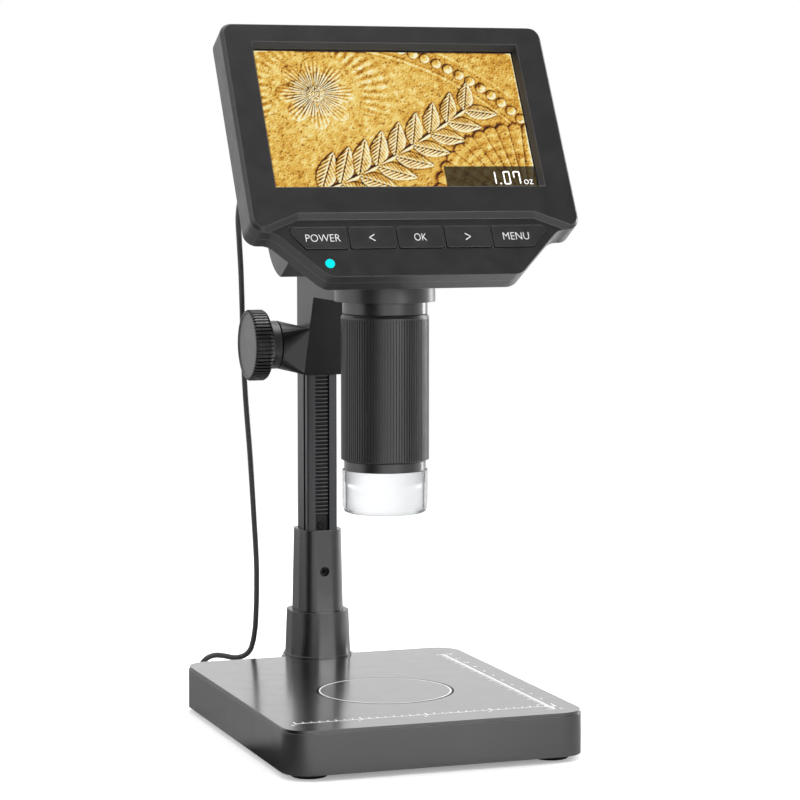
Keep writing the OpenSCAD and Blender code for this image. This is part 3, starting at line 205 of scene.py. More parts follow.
def settle(obj, place):
    """Put obj at place and move that place into its mesh."""
    pick(obj)
    obj.matrix_world = place @ obj.matrix_world
    bpy.context.view_layer.update()
    bpy.ops.object.transform_apply(location=True, rotation=True, scale=True)


def joined(pieces, name):
    """Join the pieces into one object with that name."""
    pick(pieces[0])
    for piece in pieces[1:]:
        piece.select_set(True)
    bpy.ops.object.join()
    piece = bpy.context.object
    piece.name = name
    piece.data.name = name
    return piece


def surface(obj, material):
    """Give obj one material."""
    obj.data.materials.clear()
    obj.data.materials.append(material)


def start_sheet(name, width, length):
    """Start a flat sheet with its middle at the origin, and leave it in edit mode."""
    deselect()
    bpy.ops.mesh.primitive_plane_add(size=1.0, location=(0, 0, 0))
    sheet = bpy.context.object
    sheet.name = name
    bpy.ops.object.mode_set(mode="EDIT")
    bpy.ops.mesh.select_all(action="SELECT")
    bpy.ops.transform.resize(value=(width, length, 1.0))
    return sheet


def thicken(thickness):
    """Make the flat mesh in edit mode a closed one of that thickness, and leave edit mode."""
    bpy.ops.mesh.select_all(action="SELECT")
    bpy.ops.mesh.extrude_region_move(TRANSFORM_OT_translate={"value": (0, 0, thickness)})
    bpy.ops.mesh.select_all(action="SELECT")
    bpy.ops.mesh.normals_make_consistent(inside=False)
    bpy.ops.object.mode_set(mode="OBJECT")


def ink_bar(name, width, length, thickness):
    """Return a flat printed bar from the origin along Y, closed and with softened corners."""
    bar = start_sheet(name, width, length)
    bpy.ops.transform.translate(value=(0, length / 2, 0))
    bpy.ops.mesh.bevel(offset=min(width, length) * 0.2, segments=2, affect="VERTICES")
    thicken(thickness)
    return bar


def row_of(obj, count, step):
    """Repeat obj count times, each one step further."""
    pick(obj)
    array = obj.modifiers.new("Row", "ARRAY")
    array.use_relative_offset = False
    array.use_constant_offset = True
    array.constant_offset_displace = step
    array.count = count
    bpy.ops.object.modifier_apply(modifier=array.name)
    return obj


TEXT_THINNING = -0.012  # of the text's size, for slim strokes
TEXT_DEPTH = 0.01  # half the depth of the text before it is fitted


def lettering(name, words, height, width, spot, place, thickness):
    """Return words as a closed mesh of that height and width, with its middle on spot of place."""
    deselect()
    bpy.ops.object.text_add(location=(0, 0, 0))
    text = bpy.context.object
    text.data.body = words
    text.data.size = 1.0
    text.data.offset = TEXT_THINNING
    text.data.extrude = TEXT_DEPTH
    text.data.resolution_u = 4
    bpy.ops.object.convert(target="MESH")
    piece = bpy.context.object
    piece.name = name
    piece.data.name = name
    corners = np.array([v.co[:] for v in piece.data.vertices])
    low, high = corners.min(axis=0), corners.max(axis=0)
    tall = height / (high[1] - low[1])
    wide = tall if width is None else width / (high[0] - low[0])
    flat = thickness / (2 * TEXT_DEPTH)
    centre = (low + high) / 2
    to_middle = Matrix.Translation((-centre[0], -centre[1], TEXT_DEPTH))
    fit = Matrix.Diagonal((wide, tall, flat, 1.0)) @ to_middle
    settle(piece, place @ Matrix.Translation(spot) @ fit)
    return piece


def smooth_path(points, steps):
    """Return a dense path through the points."""
    path = []
    extended = [2 * points[0] - points[1]] + list(points) + [2 * points[-1] - points[-2]]
    for i in range(1, len(extended) - 2):
        a, b, c, d = extended[i - 1 : i + 3]
        for s in range(steps):
            t = s / steps
            bend = (2 * a - 5 * b + 4 * c - d) * t * t + (3 * b - a - 3 * c + d) * t * t * t
            path.append(0.5 * (2 * b + (c - a) * t + bend))
    path.append(points[-1].copy())
    return path


def tube(name, path, radius):
    """Return a closed round tube along the path."""
    deselect()
    curve = bpy.data.curves.new(name, "CURVE")
    curve.dimensions = "3D"
    curve.bevel_depth = radius
    curve.bevel_resolution = 5
    curve.use_fill_caps = True
    line = curve.splines.new("POLY")
    line.points.add(len(path) - 1)
    for point, spot in zip(line.points, path):
        point.co = (*spot, 1.0)
    obj = bpy.data.objects.new(name, curve)
    bpy.context.scene.collection.objects.link(obj)
    pick(obj)
    bpy.ops.object.convert(target="MESH")
    obj = bpy.context.object
    obj.data.name = name
    bpy.ops.object.shade_smooth_by_angle(angle=math.radians(50))
    return obj


# ---------------------------------------------------------------- finish helpers


# A Mix node set to colours has its colours at inputs 6 and 7, and its result at output 2.
FIRST_COLOUR, SECOND_COLOUR, MIXED_COLOUR = 6, 7, 2


# How bright the room looks to glossy surfaces, at places round the turn from 0 to 1.
STRIPES = (
    (0.0, 0.9),
    (0.03, 0.5),
    (0.052, 0.0),
    (0.115, 0.0),
    (0.15, 0.3),
    (0.19, 1.0),
    (0.29, 1.0),
    (0.36, 0.6),
    (0.43, 0.5),
    (0.50, 1.0),
    (0.72, 1.0),
    (0.78, 0.88),
    (0.84, 0.88),
    (0.92, 0.95),
    (1.0, 0.9),
)


class Nodes:
    """Adds and links the nodes of one tree."""

    def __init__(self, tree):
        self.tree = tree
        tree.nodes.clear()

    def add(self, kind, **settings):
        """Add a node and set its attributes."""
        node = self.tree.nodes.new("ShaderNode" + kind)
        for key, value in settings.items():
            setattr(node, key, value)
        return node

    def join(self, source, out, target, into):
        """Link an output to an input."""
        self.tree.links.new(source.outputs[out], target.inputs[into])

    def spread(self, source, out, low, high, from_low=0.3, from_high=0.7):
        """Return source's value stretched to a range."""
        ranged = self.add("MapRange")
        self.join(source, out, ranged, "Value")
        keys = ("From Min", "From Max", "To Min", "To Max")
        for key, value in zip(keys, (from_low, from_high, low, high)):
            ranged.inputs[key].default_value = value
        return ranged

    def tones(self, source, out, stops):
        """Return a ramp of colours over source's value."""
        ramp = self.add("ValToRGB")
        self.join(source, out, ramp, "Fac")
        elements = ramp.color_ramp.elements
        while len(elements) < len(stops):
            elements.new(0.5)
        for element, (spot, colour) in zip(elements, stops):
            element.position = spot
            element.color = (*colour, 1.0)
        return ramp

    def combined(self, operation, first, first_out, second, second_out):
        """Return the result of one operation on two values."""
        node = self.add("Math", operation=operation)
        self.join(first, first_out, node, 0)
        self.join(second, second_out, node, 1)
        return node

    def blended(self, share, out, first, second):
        """Return a mix of two shaders, the second where the share is 1."""
        mix = self.add("MixShader")
        self.join(share, out, mix, 0)
        self.join(first, 0, mix, 1)
        self.join(second, 0, mix, 2)
        return mix

    def stripes(self, spots, out):
        """Return how bright the room looks to glossy surfaces, by the bearing about the object."""
        bearing = self.add("TexGradient", gradient_type="RADIAL")
        self.join(spots, out, bearing, "Vector")
        return self.tones(bearing, "Fac", [(spot, (level,) * 3) for spot, level in STRIPES])


class Blend(Nodes):
    """Builds one node material step by step."""

    def __init__(self, name):
        self.material = bpy.data.materials.new(name)
        self.material.use_nodes = True
        super().__init__(self.material.node_tree)
        self.output = self.add("OutputMaterial")
        self.shader = self.add("BsdfPrincipled")
        self.join(self.shader, "BSDF", self.output, "Surface")
        self.spots = self.add("TexCoord")
        self.bent = None

    def put(self, **values):
        """Set the shader's own sockets."""
        for key, value in values.items():
            self.shader.inputs[key.replace("_", " ")].default_value = value

    def reach(self, centre, keep):
        """Return the distance from an axis or plane through centre, in the kept directions."""
        shift = self.add("VectorMath", operation="SUBTRACT")
        shift.inputs[1].default_value = centre
        self.join(self.spots, "Object", shift, 0)
        flat = self.add("VectorMath", operation="MULTIPLY")
        flat.inputs[1].default_value = keep
        self.join(shift, "Vector", flat, 0)
        length = self.add("VectorMath", operation="LENGTH")
        self.join(flat, "Vector", length, 0)
        return length

    def place(self, stretch):
        """Return the object's own coordinates, stretched."""
        mapping = self.add("Mapping")
        mapping.inputs["Scale"].default_value = stretch
        self.join(self.spots, "Object", mapping, "Vector")
        return mapping

    def noise(self, size, detail=3.0, mapping=None, rough=0.55):
        """Return a noise whose grains are about size metres."""
        texture = self.add("TexNoise")
        texture.inputs["Scale"].default_value = 1.0 / size
        texture.inputs["Detail"].default_value = detail
        texture.inputs["Roughness"].default_value = rough
        if mapping is None:
            self.join(self.spots, "Object", texture, "Vector")
        else:
            self.join(mapping, "Vector", texture, "Vector")
        return texture

    def cloudy(self, texture, colour, low, high):
        """Return the colour, darker and lighter by factors along a texture."""
        return self.tones(texture, "Fac", [(0.3, shade(colour, low)), (0.7, shade(colour, high))])

    def edges(self, radius):
        """Return a mask of the edges, 1 on an edge and 0 where the surface is flat."""
        soft = self.add("Bevel", samples=4)
        soft.inputs["Radius"].default_value = radius
        flat = self.add("NewGeometry")
        dot = self.add("VectorMath", operation="DOT_PRODUCT")
        self.join(soft, "Normal", dot, 0)
        self.join(flat, "Normal", dot, 1)
        return self.spread(dot, "Value", 1.0, 0.0, 0.88, 1.0)

    def toned(self, mask, first, second):
        """Return the first tones, and the second plain colour where the mask is 1."""
        mix = self.add("Mix", data_type="RGBA")
        self.join(mask, "Result", mix, 0)
        self.join(first, "Color", mix, FIRST_COLOUR)
        mix.inputs[SECOND_COLOUR].default_value = (*second, 1.0)
        return mix

    def paint(self, texture, colour, mottle, edge, width):
        """Colour the surface along a texture, with a painted highlight along its edges where edge is over 1,
        and painted shade where it is under 1.
        """
        tone = self.cloudy(texture, colour, 1 - mottle, 1 + mottle)
        if edge == 1.0:
            self.join(tone, "Color", self.shader, "Base Color")
            return
        # Edges painted lighter by an edge over 1 as a painted highlight, and darker by an edge under 1 as
        # painted shade.
        edge_highlight_and_shade = self.toned(self.edges(width), tone, shade(colour, edge))
        self.join(edge_highlight_and_shade, MIXED_COLOUR, self.shader, "Base Color")

    def roughen(self, texture, low, high, from_low=0.3, from_high=0.7):
        """Vary the roughness along a texture."""
        uneven = self.spread(texture, "Fac", low, high, from_low, from_high)
        self.join(uneven, "Result", self.shader, "Roughness")

    def soften(self, radius):
        """Round the edges' shading."""
        self.bent = self.add("Bevel", samples=4)
        self.bent.inputs["Radius"].default_value = radius

    def bump(self, source, out, depth):
        """Raise the surface by source's value."""
        lift = self.add("Bump")
        lift.inputs["Strength"].default_value = 1.0
        lift.inputs["Distance"].default_value = depth
        self.join(source, out, lift, "Height")
        if self.bent is not None:
            self.join(self.bent, "Normal", lift, "Normal")
        self.bent = lift

    def finish(self):
        """Link the bent normal and return the material."""
        if self.bent is not None:
            self.join(self.bent, "Normal", self.shader, "Normal")
        return self.material

    def finish_as(self, shader):
        """Show another shader in place of the usual one, and return the material."""
        self.join(shader, 0, self.output, "Surface")
        self.tree.nodes.remove(self.shader)
        return self.material


def shade(colour, amount):
    """Return the colour made lighter or darker by a factor."""
    return tuple(min(1.0, c * amount) for c in colour)


def moulded(
    name,
    colour,
    rough,
    grain=0.35 * MM,
    depth=0.006 * MM,
    edge=1.0,
    soft=0.3 * MM,
    gloss=0.5,
    coat=0.0,
):
    """Return a moulded plastic: fine grain, faint flow marks, and edges painted lighter as a painted
    highlight when edge is over 1, and darker as painted shade when it is under 1.
    """
    blend = Blend(name)
    blend.paint(blend.noise(22 * MM, 4.0), colour, 0.12, edge, soft * 1.4)
    blend.roughen(blend.noise(7 * MM, 5.0, rough=0.65), rough * 0.86, rough * 1.14)
    blend.put(Specular_IOR_Level=gloss, Coat_Weight=coat, Coat_Roughness=0.16)
    blend.soften(soft)
    blend.bump(blend.noise(grain, 2.0), "Fac", depth)
    return blend.finish()


def drawn(name, colour, rough, stretch=(1, 1, 0.02), grain=0.25 * MM, edge=1.0, soft=0.2 * MM):
    """Return a metal with fine lines along one axis, as an extruded or brushed bar has."""
    blend = Blend(name)
    along = blend.place(stretch)
    lines = blend.noise(grain, 3.0, along)
    # Edges painted lighter by an edge over 1, as a painted highlight.
    blend.paint(blend.noise(grain * 12, 3.0, along), colour, 0.15, edge, soft * 1.5)
    blend.roughen(lines, rough * 0.8, rough * 1.2)
    blend.put(Metallic=1.0)
    blend.soften(soft)
    blend.bump(lines, "Fac", 0.004 * MM)
    return blend.finish()


def turned(name, colour, rough, centre, depth=0.004 * MM, gloss=0.5, edge=1.0):
    """Return a plastic with fine lathe rings about an upright axis through centre."""
    pitch, soft = 0.22 * MM, 0.25 * MM
    blend = Blend(name)
    shift = blend.add("VectorMath", operation="SUBTRACT")
    shift.inputs[1].default_value = centre
    blend.join(blend.spots, "Object", shift, 0)
    rings = blend.add("TexWave", wave_type="RINGS", rings_direction="Z")
    rings.inputs["Scale"].default_value = 1.0 / pitch / 20
    rings.inputs["Distortion"].default_value = 0.6
    rings.inputs["Detail"].default_value = 2.0
    blend.join(shift, "Vector", rings, "Vector")
    # Edges painted lighter by an edge over 1, as a painted highlight.
    blend.paint(blend.noise(9 * MM, 4.0), colour, 0.12, edge, soft * 1.5)
    blend.roughen(rings, rough * 0.85, rough * 1.15, 0.0, 1.0)
    blend.put(Specular_IOR_Level=gloss)
    blend.soften(soft)
    blend.bump(rings, "Fac", depth)
    return blend.finish()


def circuit(name, colour):
    """Return a lacquered board with copper tracks under the lacquer."""
    blend = Blend(name)
    tracks = blend.add("TexBrick")
    tracks.inputs["Scale"].default_value = 1.0
    tracks.inputs["Brick Width"].default_value = 4.5 * MM
    tracks.inputs["Row Height"].default_value = 1.3 * MM
    tracks.inputs["Mortar Size"].default_value = 0.18 * MM
    tracks.inputs["Color1"].default_value = (*colour, 1.0)
    tracks.inputs["Color2"].default_value = (*shade(colour, 0.8), 1.0)
    tracks.inputs["Mortar"].default_value = (*shade(colour, 1.9), 1.0)
    blend.join(blend.spots, "Object", tracks, "Vector")
    blend.join(tracks, "Color", blend.shader, "Base Color")
    blend.roughen(blend.noise(5 * MM, 4.0), 0.22, 0.34)
    blend.bump(tracks, "Fac", 0.01 * MM)
    return blend.finish()


def printed(name, colour, glow=0.0):
    """Return printing ink, with faint pinholes."""
    blend = Blend(name)
    holes = blend.noise(0.25 * MM, 3.0)
    tone = blend.tones(holes, "Fac", [(0.25, shade(colour, 0.86)), (0.5, colour)])
    blend.join(tone, "Color", blend.shader, "Base Color")
    blend.roughen(holes, 0.45, 0.6)
    # Where glow is set the ink glows: painted light on the legends, rulers and pan line, which are no lamps;
    # on the screen's readout it is the screen's own light.
    if glow:
        blend.join(tone, "Color", blend.shader, "Emission Color")
        blend.put(Emission_Strength=glow)
    return blend.finish()


# ---------------------------------------------------------------- camera and lead


CAMERA_SPOT = (-0.3502, -1.0337, 0.2271)
CAMERA_TURN = (math.radians(84.881), 0.0, math.radians(-19.338))
CAMERA_LENS = 127.14


class MICROSCOPE_OT_camera(bpy.types.Operator):
    """Put the camera in front of the microscope, a little to its left"""

    bl_idname = "microscope.camera"
    bl_label = "Camera"

    def execute(self, context):
        deselect()
        bpy.ops.object.camera_add(location=CAMERA_SPOT)
        camera = context.object
        camera.name = "camera"
        camera.rotation_euler = CAMERA_TURN
        camera.data.lens = CAMERA_LENS
        camera.data.sensor_width = 36.0
        camera.data.clip_start = 0.05
        camera.data.clip_end = 100.0
        context.scene.camera = camera
        return {"FINISHED"}


LEAD_D = 2.2 * MM
# The lead's way in millimetres: out of the base, one small loop on the table, and up to the carriage.
LEAD_LOWER = [
    (-28.5, 79, 11.25), (-28.5, 81.9, 11.25), (-28.4, 84.8, 10.6), (-28.7, 87, 9.1), (-29.3, 88.3, 7),
    (-30.7, 88.7, 4.6), (-33.2, 88.7, 2.5), (-37.1, 88.1, 1.3), (-40.4, 88, 1.8), (-42.9, 88, 3.1),
    (-44.6, 88.2, 5.4), (-45.2, 88.2, 8.2), (-44.6, 88.5, 11.1), (-43.3, 88.2, 13.7),
    (-41.1, 88.1, 15.6), (-37.9, 88, 16.4), (-34.4, 87.6, 16), (-30.4, 87.2, 15.1), (-27.4, 86.4, 15.4),
    (-25.2, 85.6, 16.6), (-23.8, 84.6, 18.6), (-22.9, 83.8, 22), (-22.5, 82.8, 26), (-22.4, 81.4, 31),
    (-22.4, 79.9, 43), (-22.8, 78.7, 57), (-24, 78, 76), (-25.5, 78, 101), (-27, 77.6, 119),
    (-28.1, 76.8, 133), (-29.1, 75, 147), (-30.6, 70.8, 160.7),
]
# On from the carriage to the back of the screen.
LEAD_UPPER = [
    (-30.6, 70.8, 160.7), (-33.2, 62.6, 170.1), (-36.6, 52, 180.1), (-40.6, 40, 190.5),
    (-45.8, 23, 200.9), (-49.3, 5, 210.3), (-49.3, -6.541, 216.429), (-49.3, -10.892, 218.892),
]


class MICROSCOPE_OT_lead(bpy.types.Operator):
    """Make the thin lead from the base's socket, up behind the post, to the back of the screen"""

    bl_idname = "microscope.lead"
    bl_label = "Lead"

    def execute(self, context):
        colours = context.scene.microscope_colours
        sheath = moulded("lead_sheath", colours.lead, 0.46, grain=0.5 * MM, depth=0.01 * MM, soft=0.1 * MM)
        lower = self.cord("lead_lower", LEAD_LOWER, "cord_lower", "base_plug", sheath)
        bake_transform(lower)
        upper = self.cord("lead_upper", LEAD_UPPER, "cord_upper", "head_plug", sheath)
        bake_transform(upper)
        return {"FINISHED"}

    def cord(self, name, route, node, plug, sheath):
        """Return one length of the lead, which takes the place of a node."""
        path = smooth_path([Vector(p) * MM for p in route], 8)
        lead = tube(name, path, LEAD_D / 2)
        surface(lead, sheath)
        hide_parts(node)
        return lead


# ---------------------------------------------------------------- finishes of the solid parts

DULL_BLACK = (0.012, 0.012, 0.013)
RUBBER_BLACK = (0.010, 0.010, 0.010)
PLUG_BLACK = (0.014, 0.014, 0.015)
POST_GREY = (0.068, 0.069, 0.072)
RACK_GREY = (0.095, 0.095, 0.098)
SCREW_STEEL = (0.52, 0.53, 0.54)
SHAFT_STEEL = (0.60, 0.61, 0.62)
BLACKENED = (0.02, 0.02, 0.021)
ALUMINIUM = (0.66, 0.67, 0.69)
BRASS = (0.62, 0.45, 0.18)
PANEL_GREY = (0.45, 0.46, 0.48)
PAD_WHITE = (0.62, 0.62, 0.60)
BATTERY_BLUE = (0.02, 0.07, 0.25)
BOARD_GREEN = (0.015, 0.10, 0.045)
BOARD_WHITE = (0.62, 0.63, 0.62)

NECK_RADIUS = 19.5 * MM  # of the carriage's turned neck
TOOTH_DEPTH = 1.2 * MM  # of the rack
GRIP_INNER, GRIP_OUTER = 12.6 * MM, 14.4 * MM  # radii of the knob's ribbed grip


def dress(finishes):
    """Give each node its finish: {material: [nodes]}."""
    for material, nodes in finishes:
        for node in nodes:
            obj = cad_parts[node]
            obj.data.materials.clear()
            obj.data.materials.append(material)


class MICROSCOPE_OT_base_finish(bpy.types.Operator):
    """Finish the base, its glossy plate, the feet and the weighing pan"""

    bl_idname = "microscope.base_finish"
    bl_label = "Base finish"

    def execute(self, context):
        colours = context.scene.microscope_colours
        # Painted highlight: the base's edges are painted 2.5 times lighter.
        casing = moulded(
            "base_plastic", colours.base, 0.235, depth=0.004 * MM, edge=2.5, soft=0.4 * MM, gloss=1.0
        )
        lacquer = {"grain": 1.6 * MM, "depth": 0.0006 * MM, "soft": 0.15 * MM, "gloss": 1.0, "coat": 0.8}
        # Painted shade: the plate's edges are painted darker.
        plate = moulded("gloss_plate", colours.plate, 0.22, edge=0.4, **lacquer)
        # Painted highlight: the pan's edges are painted lighter.
        pan = moulded("gloss_pan", colours.plate, 0.22, edge=1.6, **lacquer)
        cover = moulded("cover_plastic", DULL_BLACK, 0.5, grain=0.5 * MM, depth=0.012 * MM)
        rubber = moulded("foot_rubber", RUBBER_BLACK, 0.78, depth=0.02 * MM, grain=0.3 * MM, gloss=0.3)
        dress(
            [
                (casing, ["base_housing"]),
                (plate, ["base_top_plate"]),
                (pan, ["weighing_pan"]),
                (cover, ["base_bottom_cover"]),
                (rubber, ["rubber_feet"]),
            ]
        )
        return {"FINISHED"}


class MICROSCOPE_OT_stand_finish(bpy.types.Operator):
    """Finish the pedestal, the post with its rack, and the carriage"""

    bl_idname = "microscope.stand_finish"
    bl_label = "Stand finish"

    def execute(self, context):
        colours = context.scene.microscope_colours
        # Painted highlight: the stand's edges are painted four times lighter.
        satin = moulded(
            "stand_plastic",
            colours.stand,
            0.235,
            grain=0.4 * MM,
            depth=0.003 * MM,
            edge=4.0,
            soft=0.35 * MM,
            gloss=1.0,
        )
        bracket = self.bracket(colours.stand, middle_of("barrel_body"))
        # Painted highlight: the post's edges are painted lighter.
        anodised = drawn("post_anodised", POST_GREY, 0.36, edge=1.8)
        toothed = self.teeth(RACK_GREY)
        dress(
            [
                (satin, ["pedestal_collar", "pedestal_sleeve", "post_end_cap"]),
                (bracket, ["carriage_bracket"]),
                (anodised, ["post"]),
                (toothed, ["rack"]),
            ]
        )
        return {"FINISHED"}

    def bracket(self, colour, axis):
        """Return the carriage's plastic: dark, with painted light that makes the turned neck about the
        barrel paler.
        """
        blend = Blend("carriage_plastic")
        flow = blend.noise(22 * MM, 4.0)
        tone = blend.cloudy(flow, colour, 0.7, 0.85)
        off_axis = blend.reach(axis, (1, 1, 0))
        neck = blend.spread(off_axis, "Value", 1.0, 0.0, NECK_RADIUS, NECK_RADIUS + 1.0 * MM)
        # Painted light: the turned neck is painted twice as light as the rest of the carriage, to look as
        # bright as the lit barrel.
        painted_neck_light = blend.toned(neck, tone, shade(colour, 2.0))
        blend.join(painted_neck_light, MIXED_COLOUR, blend.shader, "Base Color")
        blend.roughen(flow, 0.29, 0.34)
        gloss = blend.spread(neck, "Result", 0.45, 1.0, 0.0, 1.0)
        blend.join(gloss, "Result", blend.shader, "Specular IOR Level")
        blend.soften(0.35 * MM)
        blend.bump(blend.noise(0.4 * MM, 2.0), "Fac", 0.005 * MM)
        return blend.finish()

    def teeth(self, colour):
        """Return the rack's blackened metal, with painted shade that darkens it to near black down in the
        gaps between its teeth.
        """
        blend = Blend("rack_oxide")
        apart = blend.add("SeparateXYZ")
        blend.join(blend.spots, "Object", apart, 0)
        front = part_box("rack")[0][1]
        depth = blend.spread(apart, "Y", 0.0, 1.0, front, front + TOOTH_DEPTH)
        # Painted shade: darker the deeper into the gaps between the teeth.
        stops = [(0.0, colour), (0.35, shade(colour, 0.5)), (0.9, shade(colour, 0.04))]
        tone = blend.tones(depth, "Result", stops)
        blend.join(tone, "Color", blend.shader, "Base Color")
        lines = blend.noise(0.3 * MM, 3.0, blend.place((0.05, 1, 1)))
        blend.roughen(lines, 0.34, 0.48)
        blend.put(Metallic=0.6)
        blend.bump(lines, "Fac", 0.003 * MM)
        return blend.finish()


class MICROSCOPE_OT_barrel_finish(bpy.types.Operator):
    """Finish the barrel, the ribbed focus ring, the knob and the light hood"""

    bl_idname = "microscope.barrel_finish"
    bl_label = "Barrel finish"

    def execute(self, context):
        colours = context.scene.microscope_colours
        axis = middle_of("barrel_body")
        knob = middle_of("focus_knob")
        # Painted highlight: the barrel's edges are painted lighter.
        barrel = turned("barrel_plastic", colours.barrel, 0.23, axis, depth=0.002 * MM, edge=2.5, gloss=1.0)
        # Painted highlight: the focus ring's edges are painted lighter.
        ring = moulded(
            "focus_ring_plastic",
            shade(colours.barrel, 0.9),
            0.34,
            grain=0.3 * MM,
            depth=0.003 * MM,
            edge=2.0,
            soft=0.12 * MM,
            gloss=0.9,
        )
        wheel = self.wheel(colours.knob, knob)
        hood = self.frosted(colours.hood)
        dress(
            [
                (barrel, ["barrel_body", "barrel_end_ring"]),
                (ring, ["focus_ring"]),
                (wheel, ["focus_knob"]),
                (hood, ["light_hood"]),
            ]
        )
        return {"FINISHED"}

    def frosted(self, colour):
        """Return the lit hood: milky and glowing head on, clearer towards its sides."""
        blend = Blend("frosted_hood")
        tone = blend.cloudy(blend.noise(7 * MM, 3.0), colour, 0.97, 1.0)
        blend.join(tone, "Color", blend.shader, "Base Color")
        blend.join(tone, "Color", blend.shader, "Emission Color")
        blend.put(Emission_Strength=0.22, Roughness=0.4)
        clear = blend.add("BsdfRefraction")
        clear.inputs["Color"].default_value = (*shade(colour, 0.92), 1.0)
        clear.inputs["Roughness"].default_value = 0.22
        clear.inputs["IOR"].default_value = 1.05
        facing = blend.add("LayerWeight")
        facing.inputs["Blend"].default_value = 0.5
        part = blend.spread(facing, "Facing", 0.08, 0.86, 0.01, 0.60)
        both = blend.blended(part, "Result", blend.shader, clear)
        blend.join(both, "Shader", blend.output, "Surface")
        blend.bump(blend.noise(0.5 * MM, 2.0), "Fac", 0.006 * MM)
        return blend.finish()

    def wheel(self, colour, centre):
        """Return the knob's plastic: a plain face, and painted shade that darkens the band of its ribbed
        grip for the grooves between the ribs.
        """
        blend = Blend("knob_plastic")
        off_axis = blend.reach(centre, (0, 1, 1))
        ring = blend.spread(off_axis, "Value", 0.0, 1.0, GRIP_INNER, GRIP_OUTER)
        cloud = blend.noise(9 * MM, 4.0)
        face = blend.cloudy(cloud, colour, 0.95, 1.05)
        # Painted shade: the band of the ribbed grip is painted nearly black for the shade in the grooves
        # between its ribs.
        groove_shade_levels = ((0.22, 1.0), (0.32, 0.04), (0.86, 0.06), (0.98, 0.7))
        groove = blend.tones(ring, "Result", [(spot, (level,) * 3) for spot, level in groove_shade_levels])
        tone = blend.add("Mix", data_type="RGBA", blend_type="MULTIPLY")
        tone.inputs[0].default_value = 1.0
        blend.join(face, "Color", tone, FIRST_COLOUR)
        blend.join(groove, "Color", tone, SECOND_COLOUR)
        blend.join(tone, MIXED_COLOUR, blend.shader, "Base Color")
        blend.roughen(cloud, 0.34, 0.40)
        blend.put(Specular_IOR_Level=0.9)
        blend.bump(blend.noise(0.3 * MM, 2.0), "Fac", 0.003 * MM)
        return blend.finish()


class MICROSCOPE_OT_head_finish(bpy.types.Operator):
    """Finish the screen's case, its window, the buttons and the status light"""

    bl_idname = "microscope.head_finish"
    bl_label = "Screen case finish"

    def execute(self, context):
        colours = context.scene.microscope_colours
        # Painted highlight: the case's edges are painted five times lighter.
        case = moulded(
            "case_plastic",
            colours.casing,
            0.34,
            grain=0.3 * MM,
            depth=0.004 * MM,
            edge=5.0,
            soft=0.35 * MM,
            gloss=0.6,
        )
        # Painted highlight: the buttons' edges are painted lighter.
        keys = moulded(
            "button_plastic", colours.casing, 0.34, grain=0.25 * MM, depth=0.004 * MM, edge=3.5, gloss=0.8
        )
        dress(
            [
                (case, ["front_bezel", "rear_housing"]),
                (keys, ["power_button", "left_button", "ok_button", "right_button", "menu_button"]),
                (self.window(), ["screen_window"]),
                (self.light(colours.led), ["status_led"]),
            ]
        )
        return {"FINISHED"}

    def window(self):
        """Return the clear window: see-through, with a thin gloss."""
        blend = Blend("window_clear")
        clear = blend.add("BsdfTransparent")
        clear.inputs["Color"].default_value = (0.985, 0.985, 0.985, 1.0)
        gloss = blend.add("BsdfGlossy")
        gloss.inputs["Roughness"].default_value = 0.08
        angle = blend.add("LayerWeight")
        angle.inputs["Blend"].default_value = 0.5
        slant = blend.spread(angle, "Facing", 0.02, 0.45, 0.45, 1.0)
        smear = blend.spread(blend.noise(18 * MM, 4.0), "Fac", 0.75, 1.0)
        share = blend.combined("MULTIPLY", slant, "Result", smear, "Result")
        return blend.finish_as(blend.blended(share, "Value", clear, gloss))

    def light(self, colour):
        """Return the lit lens of the status light."""
        blend = Blend("status_glow")
        tone = blend.cloudy(blend.noise(0.8 * MM, 2.0), colour, 0.94, 1.0)
        blend.join(tone, "Color", blend.shader, "Emission Color")
        blend.put(Emission_Strength=1.0, Roughness=0.25)
        blend.shader.inputs["Base Color"].default_value = (0.0, 0.08, 0.08, 1.0)
        return blend.finish()


